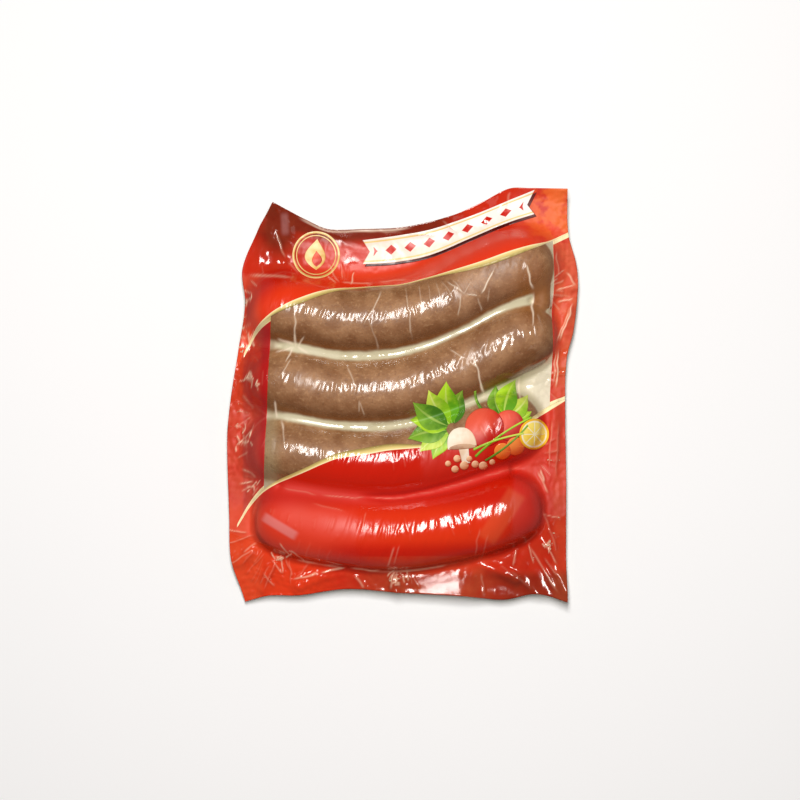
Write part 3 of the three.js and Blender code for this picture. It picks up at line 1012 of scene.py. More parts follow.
    def creased(self, x: Array, y: Array, outside: Array) -> tuple[Array, Array]:
        """Works out the folds and creases that are placed one by one.

        Args:
            x: The points' x.
            y: The points' y.
            outside: Their distance from the nearest link.

        Returns:
            The height that they add, and the painted glint along them.
        """
        total = np.zeros_like(x)
        fade = smoothstep((outside - FOLD_START) / FOLD_FADE)
        for fold in FOLDS:
            total += fold.rise(x, y) * fade
        bent_x, bent_y = x + CREASE_WANDER[0].level(x, y), y + CREASE_WANDER[1].level(x, y)
        ridges, lines = np.zeros_like(x), np.zeros_like(x)
        for crease in self.fan_creases:
            crease.add_to(bent_x, bent_y, ridges, lines)
        off_links = smoothstep(outside / LINK_SIDE_FADE)
        total += ridges * off_links
        glint = lines * off_links
        for crease in self.creases:
            crease.add_to(bent_x, bent_y, total, glint)
        return total, glint

    def rim(self, x: Array, y: Array, outside: Array) -> Array:
        """Gives the strength of the broken ridge beside the links, from 0 to 1."""
        rim = np.exp(-(((outside - RIM_OUTSIDE) / RIM_HALF_WIDTH) ** 2))
        rim *= smoothstep(RIM_BREAKS.level(x, y) + 0.35)
        from_neck = np.hypot(x - NECK.middle[0], y - NECK.middle[1])
        rim *= smoothstep((from_neck - RIM_CLEAR_OF_NECK) / 4) * (1 - FAINT_RIM.level(x, y))
        return rim * (1 - self.in_groove(x, y))

    @staticmethod
    def in_groove(x: Array, y: Array) -> Array:
        """Gives how far points lie in a groove between two links, from 0 to 1."""
        middles = [(upper(x) + lower(x)) / 2 for upper, lower in zip(LINK_LINES, LINK_LINES[1:])]
        beside = np.minimum.reduce([np.abs(y - middle) for middle in middles])
        within = smoothstep((GROOVE_END_X - np.abs(x)) / GROOVE_END_FADE)
        return smoothstep((GROOVE_REACH - beside) / GROOVE_FADE) * within

    def loose(self, x: Array, y: Array) -> Array:
        """Gives how loose the film is: 1 on the flange, 0 over the links and in their grooves."""
        away = smoothstep((self.read(self.outside, x, y) - LOOSE_START) / LOOSE_FADE)
        return away * (1 - self.in_groove(x, y))

    @staticmethod
    def gloss(x: Array, y: Array) -> Array:
        """Gives how glossy the face web is."""
        level = np.ones_like(x)
        for part in GLOSS:
            level = part.blend(x, y, level)
        return level

    def streaks(self, x: Array, y: Array) -> Array:
        """Gives how strongly the face web is streaked: most over the crests, not in the grooves."""
        on_crest = smoothstep((0.42 - self.read(self.flank, x, y)) / 0.25)
        gloss = self.gloss(x, y)
        return on_crest * smoothstep(gloss * 2) * (2.0 - 1.35 * gloss)

    def height(self, x: Array, y: Array, web: Web) -> Array:
        """Gives a web's height with its wrinkles, the two webs sealed together at the pack's edge."""
        total, _ = self.relief(x, y, web)
        face, back = self.read(self.face, x, y), self.read(self.back, x, y)
        outside = self.read(self.outside, x, y)
        sealed = 1 - smoothstep((PLAN.inset(x, y) - SEAL_INSET) / SEAL_FADE)
        sealed *= smoothstep(outside / LINK_SIDE_FADE)
        drawn_in = sealed * np.maximum((face - back - WEB_GAP) / 2, 0)
        if web is Web.FACE:
            return face + total - drawn_in
        follows = np.maximum(smoothstep((outside - LOOSE_START) / BACK_FOLLOW_FADE), sealed)
        return np.maximum(back + total * follows + drawn_in, 0.0)


def spline_shares(t: Array) -> tuple[Array, Array, Array]:
    """Gives the shares of three neighbours at t steps from the middle one."""
    return 0.5 * (0.5 - t) ** 2, 0.75 - t**2, 0.5 * (0.5 + t) ** 2


def rolled(heights: Array, radius: float, sign: int, axis: int) -> Array:
    """Rolls a round bowl along one axis: its highest reach for sign 1, its deepest fit for -1."""
    reach = int(math.ceil(2 * radius / SAMPLE_STEP))
    best = np.full_like(heights, -np.inf)
    count = heights.shape[axis]
    for k in range(-reach, reach + 1):
        shifted = np.take(heights, np.clip(np.arange(count) + k, 0, count - 1), axis)
        best = np.maximum(best, sign * shifted - (k * SAMPLE_STEP) ** 2 / (2 * radius))
    return sign * best


def drawn_tight(heights: Array, radius: float) -> Array:
    """Bridges every hollow that a bowl of the radius can't enter, as film under vacuum does."""
    for sign in (1, -1):
        for axis in (1, 0):
            heights = rolled(heights, radius, sign, axis)
    return heights


def softened(heights: Array, rounds: int) -> Array:
    """Eases sharp lines by an average over neighbours."""
    for _ in range(rounds):
        for axis in (0, 1):
            heights = (np.roll(heights, 1, axis) + 2 * heights + np.roll(heights, -1, axis)) / 4
    return heights


class Value:
    """A number that varies over a surface, so that shader maths reads as Python."""

    def __init__(self, kit: "NodeKit", socket: bpy.types.NodeSocket) -> None:
        """Wraps an output socket of a material."""
        self.kit = kit
        self.socket = socket

    def maths(self, operation: str, *others: Any) -> "Value":
        """Adds one Math node to this value."""
        inputs = dict(enumerate((self, *others)))
        return self.kit.value("ShaderNodeMath", {"operation": operation}, inputs)

    def __add__(self, other: Any) -> "Value":
        """Adds."""
        return self.maths("ADD", other)

    __radd__ = __add__

    def __mul__(self, other: Any) -> "Value":
        """Multiplies."""
        return self.maths("MULTIPLY", other)

    __rmul__ = __mul__

    def __sub__(self, other: Any) -> "Value":
        """Subtracts."""
        return self.maths("SUBTRACT", other)

    def __rsub__(self, other: Any) -> "Value":
        """Subtracts this from a number."""
        return (self * -1.0) + other

    def __truediv__(self, other: float) -> "Value":
        """Divides by a number."""
        return self * (1.0 / other)

    def stepped(self, low: float, high: float) -> "Value":
        """Eases from 0 at low to 1 at high."""
        settings = {"interpolation_type": "SMOOTHSTEP"}
        limits = {"Value": self, "From Min": low, "From Max": high}
        if low > high:
            limits = {"Value": self, "From Min": high, "From Max": low, "To Min": 1.0, "To Max": 0.0}
        return self.kit.value("ShaderNodeMapRange", settings, limits)

    def held(self) -> "Value":
        """Holds the value between 0 and 1."""
        return self.kit.value("ShaderNodeClamp", {}, {"Value": self})


Colour = tuple[float, float, float]


def ink(red: int, green: int, blue: int) -> Colour:
    """Turns a colour as seen on screen, from 0 to 255, into the light it sends back."""

    def linear(level: int) -> float:
        """Turns one channel."""
        share = level / 255
        return share / 12.92 if share <= 0.04045 else ((share + 0.055) / 1.055) ** 2.4

    return linear(red), linear(green), linear(blue)


class NodeKit:
    """Builds one material from nodes."""

    def __init__(self, name: str) -> None:
        """Starts an empty material."""
        self.material = bpy.data.materials.new(name)
        self.material.use_nodes = True
        self.tree = self.material.node_tree
        self.tree.nodes.clear()

    def node(self, kind: str, settings: Mapping[str, Any], inputs: Mapping[Any, Any]) -> bpy.types.Node:
        """Adds a node.

        Args:
            kind: The node's type.
            settings: Its settings, set before its sockets.
            inputs: Values or links for its sockets, by name or number.

        Returns:
            The new node.
        """
        made = self.tree.nodes.new(kind)
        for name, setting in settings.items():
            setattr(made, name, setting)
        for name, given in inputs.items():
            source = given.socket if isinstance(given, Value) else given
            if isinstance(source, bpy.types.NodeSocket):
                self.tree.links.new(source, made.inputs[name])
            elif isinstance(source, tuple) and made.inputs[name].type == "RGBA":
                made.inputs[name].default_value = (*source, 1.0)
            else:
                made.inputs[name].default_value = source
        return made

    def value(
        self, kind: str, settings: Mapping[str, Any], inputs: Mapping[Any, Any], output: Any = 0
    ) -> Value:
        """Adds a node and wraps one of its outputs."""
        return Value(self, self.node(kind, settings, inputs).outputs[output])

    def attribute(self, name: str) -> Value:
        """Reads a number stored on the mesh."""
        return self.value("ShaderNodeAttribute", {"attribute_name": name}, {}, "Fac")

    @cached_property
    def place(self) -> bpy.types.NodeSocket:
        """The object coordinates."""
        return self.node("ShaderNodeTexCoord", {}, {}).outputs["Object"]

    @cached_property
    def plan(self) -> tuple[Value, Value]:
        """The object's x and y in millimetres."""
        parts = self.node("ShaderNodeSeparateXYZ", {}, {0: self.place}).outputs
        return Value(self, parts[0]) / METRES, Value(self, parts[1]) / METRES

    def noise(self, size: float, detail: float = 3.0, stretch: float = 1.0, lean: float = 0.0) -> Value:
        """Adds noise.

        Args:
            size: The size of its largest features in millimetres.
            detail: How many finer octaves it has.
            stretch: How much longer the features are up the pack.
            lean: How far they lean to the right, in radians.

        Returns:
            A value about 0.5.
        """
        sockets = {"Vector": self.place, "Scale": (1.0, stretch, 1.0), "Rotation": (0.0, 0.0, -lean)}
        moved = self.node("ShaderNodeMapping", {"vector_type": "TEXTURE"}, sockets).outputs[0]
        sockets = {"Vector": moved, "Scale": 1 / (size * METRES), "Detail": detail}
        return self.value("ShaderNodeTexNoise", {}, sockets, "Fac")

    def mixed(self, share: Any, first: Any, second: Any) -> bpy.types.NodeSocket:
        """Mixes two colours, from the first at 0 to the second at 1."""
        settings = {"data_type": "RGBA"}
        return self.node("ShaderNodeMix", settings, {0: share, 6: first, 7: second}).outputs[2]

    def bumped(self, height: Value, distance: float, strength: float = 1.0) -> bpy.types.NodeSocket:
        """Turns a height into normals, distance being in millimetres."""
        sockets = {"Height": height, "Distance": distance * METRES, "Strength": strength}
        return self.node("ShaderNodeBump", {}, sockets).outputs[0]

    def plastic(self, inputs: Mapping[Any, Any]) -> bpy.types.NodeSocket:
        """Adds the main shader."""
        return self.node("ShaderNodeBsdfPrincipled", {}, inputs).outputs[0]

    def finish(self, shader: bpy.types.NodeSocket) -> bpy.types.Material:
        """Puts a shader on the surface and gives the finished material."""
        self.node("ShaderNodeOutputMaterial", {}, {"Surface": shader})
        return self.material


RED_BRIGHT = ink(228, 54, 18)
RED_DEEP = ink(203, 28, 8)
# Painted shade, for the print where the film faces away from the light.
RED_PAINTED_SHADE = ink(118, 22, 8)
# Painted reflection: a pale peach sheen over the red.
PAINTED_PEACH_REFLECTION = ink(240, 146, 92)
# Painted reflection, lilac, for the lowest link's left end.
PAINTED_LILAC_REFLECTION = ink(226, 176, 176)
CRIMSON = ink(180, 26, 26)
ORANGE = ink(244, 112, 36)
GOLD_PALE = ink(255, 240, 190)
GOLD = ink(238, 214, 138)
GOLD_OLIVE = ink(180, 158, 90)
# Painted glints, along the creases and the top edge.
CREASE_GLINT = ink(255, 220, 188)
GLINT_WHITE = ink(246, 226, 204)
MILK = ink(196, 187, 152)
MILK_PALE = ink(214, 205, 178)
MILK_WHITE = ink(226, 216, 194)


@dataclass(frozen=True)
class FilmSkin:
    """What all the film has in common: its gloss and its finest crinkles."""

    roughness: float = 0.14
    dullness: float = 0.55
    streak_size: float = 0.9
    crinkle_size: float = 2.4
    crinkle_share: float = 0.8
    depth: float = 0.07
    knurl_pitch: float = 0.9
    knurl_share: float = 0.11

    def normal(self, kit: NodeKit) -> bpy.types.NodeSocket:
        """Adds the finest crinkles and the knurl of the seal."""
        x, y = kit.plan
        streaks = kit.noise(self.streak_size, 2.0, 6.0, 0.3)
        crinkles = kit.noise(self.crinkle_size, 2.0) * (1.0 - kit.attribute("tight"))
        turn = 2 * math.pi / self.knurl_pitch
        knurl = ((x + y) * turn).maths("SINE") * ((x - y) * turn).maths("SINE")
        height = streaks * kit.attribute("streaked") + crinkles * self.crinkle_share
        return kit.bumped(height + knurl * kit.attribute("seal") * self.knurl_share, self.depth)

    def rough(self, kit: NodeKit) -> Value:
        """Gives the roughness: low, but for the dull places."""
        loss = 1.0 - kit.attribute("gloss")
        dull = loss * loss * self.dullness
        return kit.noise(14.0) * 0.08 + dull + (self.roughness - 0.04)


SKIN = FilmSkin()


@dataclass(frozen=True)
class FilmFinish(ABC):
    """A finish under the film's gloss, in colours of its own."""

    name: str

    @abstractmethod
    def colour(self, kit: NodeKit) -> bpy.types.NodeSocket:
        """Mixes the finish's colours."""

    def build(self) -> bpy.types.Material:
        """Builds the material."""
        kit = NodeKit(self.name)
        sockets = {"Base Color": self.colour(kit), "Roughness": SKIN.rough(kit), "Normal": SKIN.normal(kit)}
        return kit.finish(kit.plastic(sockets))


class PrintedFilm(FilmFinish):
    """Glossy film with red print, golden stripes and an orange glow at one corner, with painted light, shade,
    reflections and glints.
    """

    def colour(self, kit: NodeKit) -> bpy.types.NodeSocket:
        """Mixes the print's colours."""
        x, y = kit.plan
        cloud = (kit.noise(30.0) - 0.5) * 0.5
        # The red lightens with the tone: partly the print's own tone, partly painted light.
        red = kit.mixed((kit.attribute("tone") + cloud).held(), RED_DEEP, RED_BRIGHT)
        # Painted shade: the red darkens along the top edge, at the top-left corner, at the foot and beside
        # the lowest link.
        red = kit.mixed((kit.attribute("painted_shade") + cloud * 0.6).held(), red, RED_PAINTED_SHADE)
        glow = (x - 52).stepped(0, 22) * (y - 70).stepped(0, 18) * kit.noise(9.0).stepped(0.44, 0.6)
        red = kit.mixed(glow * 0.75, red, ORANGE)
        red = kit.mixed(kit.attribute("strip"), red, CRIMSON)
        # Painted reflection: a faint pale sheen over the flange and the margins.
        painted_reflection = kit.attribute("painted_reflection") * (kit.noise(5.0) * 1.6 + 0.2)
        red = kit.mixed(painted_reflection.held(), red, PAINTED_PEACH_REFLECTION)
        # Painted reflections in the sheen patches, lilac at the left and peach elsewhere.
        red = kit.mixed(kit.attribute("sheen"), red, kit.mixed(x.stepped(-45, -35), PAINTED_LILAC_REFLECTION, PAINTED_PEACH_REFLECTION))
        band = kit.attribute("band")
        red = kit.mixed(band.stepped(0.0, 0.04), red, self.gold(kit, band))
        # Painted glints along the creases.
        glint = kit.attribute("glint")
        red = kit.mixed(glint * glint * 0.85, red, CREASE_GLINT)
        # A painted highlight along the top edge.
        return kit.mixed(kit.attribute("edge"), red, GLINT_WHITE)

    @staticmethod
    def gold(kit: NodeKit, band: Value) -> bpy.types.NodeSocket:
        """Mixes the stripes' gold: palest along their lower side and towards the pack's edges."""
        gold = kit.mixed(band.stepped(0.25, 0.9), GOLD, GOLD_OLIVE)
        gold = kit.mixed(kit.plan[0].maths("ABSOLUTE").stepped(60, 76) * 0.8, gold, GOLD_PALE)
        return kit.mixed(band.stepped(0.3, 0.12), gold, GOLD_PALE)


@dataclass(frozen=True)
class Meat:
    """Coarse sausage meat seen through its casing: lighter fat, darker lean, fine speckles and painted shade
    on the links' lower sides.
    """

    light: Colour = ink(163, 121, 84)
    dark: Colour = ink(136, 92, 56)
    fat: Colour = ink(198, 158, 118)
    spice: Colour = ink(104, 62, 34)
    # Painted shade for the links' lower sides.
    low_side: Colour = ink(108, 57, 18)
    amber: Colour = ink(146, 90, 42)
    mist: Colour = ink(158, 140, 104)
    knot: Point = (69.0, 50.5)

    def colour(self, kit: NodeKit) -> tuple[bpy.types.NodeSocket, Value, Value]:
        """Mixes the meat's colours.

        Args:
            kit: The material's nodes.

        Returns:
            The colour, and the broad and fine noise that it follows.
        """
        x, y = kit.plan
        broad, fine = kit.noise(9.0, 4.0), kit.noise(1.6, 3.0)
        mixed = kit.mixed(broad.stepped(0.32, 0.68), self.dark, self.light)
        mixed = kit.mixed(fine.stepped(0.56, 0.72) * 0.4, mixed, self.fat)
        # Painted shade on the links' lower sides.
        mixed = kit.mixed(kit.attribute("shade") * 0.78, mixed, self.low_side)
        across, up = x - self.knot[0], y - self.knot[1]
        away = (across * across + up * up).maths("SQRT")
        mixed = kit.mixed(away.stepped(24.0, 4.0) * 0.75, mixed, self.amber)
        edge = (x * -1.0 - 58.0).stepped(0.0, 8.0) * (y * -1.0).stepped(2.0, 14.0)
        mixed = kit.mixed(edge * 0.6, mixed, self.mist)
        return kit.mixed(fine.stepped(0.42, 0.3) * 0.35, mixed, self.spice), broad, fine


@dataclass(frozen=True)
class ClearFilm:
    """Clear glossy film: milky where it stands off the links, and coloured by them at their sides."""

    name: str = "clear_film"
    least_haze: float = 0.015
    pressed: Meat = Meat()

    def build(self) -> bpy.types.Material:
        """Builds the material."""
        kit = NodeKit(self.name)
        gloss = {"Roughness": SKIN.rough(kit), "Normal": SKIN.normal(kit)}
        fresnel = kit.value("ShaderNodeFresnel", {}, {"IOR": 1.5, "Normal": gloss["Normal"]})
        seen = kit.node("ShaderNodeBsdfTransparent", {}, {"Color": (0.97, 0.96, 0.94)}).outputs[0]
        shine = kit.node("ShaderNodeBsdfGlossy", {}, gloss).outputs[0]
        clear = kit.node("ShaderNodeMixShader", {}, {0: fresnel, 1: seen, 2: shine}).outputs[0]
        gap = kit.attribute("gap") + (kit.noise(5.0) - 0.5) * 1.2
        # The creases' painted glint, as a white haze on the clear film.
        glint = kit.attribute("glint")
        side = gap.stepped(0.3, 0.9) + kit.attribute("flank").stepped(0.2, 0.42)
        haze = side.held() * 0.97 + glint * 0.9 + self.least_haze
        # The milk stands for the pale back web seen through the film, and is in part a painted reflection in
        # the film's hollows between the links.
        milk = kit.mixed(kit.noise(12.0), MILK, MILK_PALE)
        milk = kit.mixed(kit.attribute("tight") * -0.85 + 0.85, milk, MILK_WHITE)
        milk = kit.mixed(gap.stepped(0.5, 2.8), self.pressed.colour(kit)[0], milk)
        milky = kit.plastic({"Base Color": kit.mixed(glint, milk, GLINT_WHITE), **gloss})
        mixed = kit.node("ShaderNodeMixShader", {}, {0: haze.held(), 1: clear, 2: milky}).outputs[0]
        return kit.finish(mixed)


class MilkyFilm(FilmFinish):
    """The pale film of the back."""

    def colour(self, kit: NodeKit) -> bpy.types.NodeSocket:
        """Mixes the film's colours."""
        return kit.mixed(kit.noise(16.0), MILK, MILK_PALE)


@dataclass(frozen=True)
class Casing:
    """Moist casing over the meat."""

    name: str
    meat: Meat = Meat()

    def build(self) -> bpy.types.Material:
        """Builds the material."""
        kit = NodeKit(self.name)
        colour, broad, fine = self.meat.colour(kit)
        normal = kit.bumped(broad * 0.6 + fine, 0.25)
        sockets = {"Base Color": colour, "Roughness": fine * 0.2 + 0.5, "Normal": normal}
        return kit.finish(kit.plastic(sockets))


@dataclass(frozen=True)
class Ink(FilmFinish):
    """Printed ink: two tones along or across a shape, with a rib line."""

    near: Colour
    far: Colour
    rib: Colour | None = None

    def colour(self, kit: NodeKit) -> bpy.types.NodeSocket:
        """Mixes the ink's colours, with the creases' painted glint over them."""
        return kit.mixed(kit.attribute("glint") * 0.35, self.printed(kit), CREASE_GLINT)

    def printed(self, kit: NodeKit) -> bpy.types.NodeSocket:
        """Mixes the print's own colours."""
        along, across = kit.attribute("along"), kit.attribute("across")
        tone = along * 0.35 + across * 0.3 + (kit.noise(3.5) - 0.5) * 0.7 + 0.5
        mixed = kit.mixed(tone.stepped(0.2, 0.8), self.near, self.far)
        if self.rib is None:
            return mixed
        return kit.mixed(across.maths("ABSOLUTE").stepped(0.16, 0.04) * 0.7, mixed, self.rib)

    @staticmethod
    def beside_middle(along: Value, count: int) -> Value:
        """Gives how far a place lies from the middle of the nearest of many equal steps."""
        return ((along * (count / 2) + 0.5).maths("FRACT") - 0.5).maths("ABSOLUTE")


@dataclass(frozen=True)
class RibbonInk(Ink):
    """Cream ink with a golden line along both edges and a row of red lozenges."""

    lozenges: int = 9

    def printed(self, kit: NodeKit) -> bpy.types.NodeSocket:
        """Mixes the print's own colours."""
        along, across = kit.attribute("along"), kit.attribute("across").maths("ABSOLUTE")
        lozenge = (self.beside_middle(along, self.lozenges) * 1.9 + across * 1.5).stepped(0.62, 0.54)
        inside = along.maths("ABSOLUTE").stepped(0.9, 0.88)
        cream = kit.mixed(lozenge * inside, super().printed(kit), RED_DEEP)
        return kit.mixed(across.stepped(0.7, 0.74) * across.stepped(0.86, 0.82), cream, GOLD)


@dataclass(frozen=True)
class SliceInk(Ink):
    """Ink of a round citrus slice: rind, pith and segments."""

    segments: int = 8
    pith: Colour = ink(252, 240, 204)
    rind: Colour = ink(246, 186, 10)

    def printed(self, kit: NodeKit) -> bpy.types.NodeSocket:
        """Mixes the print's own colours."""
        along, out = kit.attribute("along"), kit.attribute("across") * 0.5 + 0.5
        wall = (self.beside_middle(along, self.segments) * out).stepped(0.045, 0.025)
        white = (wall + out.stepped(0.74, 0.78)).held()
        flesh = kit.mixed(white, super().printed(kit), self.pith)
        return kit.mixed(out.stepped(0.84, 0.88), flesh, self.rind)


@dataclass(frozen=True)
class BallInk(Ink):
    """Ink of a round root or fruit, lit from the upper left."""

    lit_from: float = 2.3

    def printed(self, kit: NodeKit) -> bpy.types.NodeSocket:
        """Mixes the print's own colours."""
        along, out = kit.attribute("along"), kit.attribute("across") * 0.5 + 0.5
        toward = (along * math.pi + self.lit_from).maths("COSINE") * out * -1.0
        lit = toward * 0.7 + (1.0 - out * out) * 0.4 + (kit.noise(4.0) - 0.5) * 0.3
        return kit.mixed(lit.stepped(-0.3, 0.9), self.near, self.far)


RIBBON_INK = RibbonInk("ribbon_ink", ink(246, 232, 216), ink(255, 250, 244))
SLICE_INK = SliceInk("slice_ink", ink(250, 208, 60), ink(255, 228, 110))


def dressed(mesh: bpy.types.Mesh, name: str, material: bpy.types.Material) -> bpy.types.Object:
    """Makes a mesh a piece of the pack.

    Args:
        mesh: The finished mesh, in metres.
        name: The piece's name.
        material: Its finish.

    Returns:
        The piece, riding on the pack's body in place of its solid.
    """
    piece = bpy.data.objects.new(name, mesh)
    bpy.context.scene.collection.objects.link(piece)
    mesh.materials.append(material)
    for polygon in mesh.polygons:
        polygon.use_smooth = True
    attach(piece, BODY)
    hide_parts(CAD_NODE)
    return piece


def warped_grid(
    name: str, faces: tuple[int, int], warp: PlanMap, film: DrawnFilm, web: Web, lift: float = 0.0
) -> bpy.types.Mesh:
    """Lays a grid on one web of film.

    Args:
        name: The mesh's name.
        faces: How many faces the grid has across and up.
        warp: Takes the grid's own places, from 0 to 1, to x and y on the plan.
        film: The film that it lies on.
        web: The web of that film.
        lift: How far it stands off the web.

    Returns:
        The mesh in metres, with the attributes that its finish reads.
    """
    bm = bmesh.new()
    bmesh.ops.create_grid(bm, x_segments=faces[0], y_segments=faces[1], size=0.5)
    mesh = new_mesh(name, bm)
    flat = vertex_places(mesh)
    u, v = flat[:, 0] + 0.5, flat[:, 1] + 0.5
    x, y = warp(u, v)
    place_vertices(mesh, x, y, film.height(x, y, web) + lift * web.value)
    # The creases' painted glint.
    store(mesh, "glint", film.relief(x, y, web)[1])
    tight = 1 - film.loose(x, y)
    store(mesh, "tight", tight)
    on_face = web is Web.FACE
    store(mesh, "gloss", film.gloss(x, y) if on_face else np.ones_like(x))
    store(mesh, "streaked", tight * film.streaks(x, y) if on_face else np.zeros_like(x))
    store(mesh, "along", 2 * u - 1)
    store(mesh, "across", 2 * v - 1)
    if web is Web.BACK:
        mesh.flip_normals()
    return mesh


def store(mesh: bpy.types.Mesh, name: str, values: Array) -> None:
    """Stores a number for each vertex of a mesh."""
    attribute = mesh.attributes.new(name, "FLOAT", "POINT")
    attribute.data.foreach_set("value", values.astype(np.float32))


def new_mesh(name: str, bm: bmesh.types.BMesh) -> bpy.types.Mesh:
    """Makes a mesh of faces under construction, and frees them."""
    mesh = bpy.data.meshes.new(name)
    bm.to_mesh(mesh)
    bm.free()
    return mesh


def vertex_places(mesh: bpy.types.Mesh) -> Array:
    """Reads a mesh's vertices as rows of x, y and z."""
    flat = np.empty(len(mesh.vertices) * 3)
    mesh.vertices.foreach_get("co", flat)
    return flat.reshape(-1, 3)


def place_vertices(mesh: bpy.types.Mesh, x: Array, y: Array, z: Array) -> None:
    """Moves a mesh's vertices to places in millimetres."""
    mesh.vertices.foreach_set("co", (np.column_stack([x, y, z]) * METRES).ravel())


def thickened(piece: bpy.types.Object, thickness: float) -> None:
    """Gives a sheet its thickness, inwards."""
    solid = piece.modifiers.new("thickness", "SOLIDIFY")
    solid.thickness = thickness * METRES
    solid.offset = -1.0
    solid.use_rim = True


# Where the stripes and the crimson strip end, and how the film lies round the neck.
MID_WINDOW_ROW = 2.5
STRIPE_TIPS = (-83.0, -79.5)
STRIPE_TIP_FADE = 3.0
GOLD_LEFT_OF_EDGE = Zone(0.8, ((75, -5),))
LINE_BLUR = 0.02
STRIP_START = Zone(1.0, ((-80.5, 1.5),))
NECK_FILM_REACH = 3.2
NECK_FILM_FADE = 2.5
WINDOW_RIGHT_OF_EDGE = Zone(0.65, ((-66, 14),))

# Where the print is painted lighter or darker for light and shade, partly its own tone, and where the film
# over it has painted reflections.
# Painted light over the lowest link, partly the print's own tone.
LIT_LOWER = Zone(0.8, ((66, -30),), ((-50, -10),))
UNLIT_FOOT = Zone(1.0, ((-50, 25),), ((-70, -8),))
# Painted shade: along the header's top edge, at the curled top-left corner, on the flange at the foot and at
# the lowest link's right end.
PAINTED_SHADE_TOP_EDGE = Zone(1.0, ((36, -20),), ((60, HARD),))
PAINTED_SHADE_PLACES = (
    Blot((-62, 83), (11, 14), 1.3),
    Zone(0.6, ((-40, 40),), ((-86, -6),)),
    Zone(0.2, ((40, 16),), ((-46, -8),)),
)
# Painted shade beside the lowest link's lower side.
PAINTED_SHADE_UNDER_LINK = Zone(0.5, (), ((-66, -6),))
# Painted reflection: a faint pale sheen over the flange, stronger in the margins and at the foot.
FLAT_PAINTED_REFLECTION = 0.05
PAINTED_REFLECTION_ZONES = (
    Zone(0.07, ((-40, 40), (50, -12)), ((-80, -HARD),)),
    Zone(0.07, ((74, 3),)),
    Zone(0.14, ((74, 3),), ((-10, 20), (76, -HARD))),
    Zone(0.07, ((-69, -3),), ((60, -HARD),)),
)
# A painted highlight along the header's rolled top edge.
EDGE_GLINT = Zone(0.75, ((-53, 6), (6, -8)), ((60, HARD),))
EDGE_GLINT_INSET = 0.9
EDGE_GLINT_HALF_WIDTH = 0.45
KNURLED_SEAL = Zone(1.0, ((8, HARD), (35, -HARD)), ((-88, -3),))


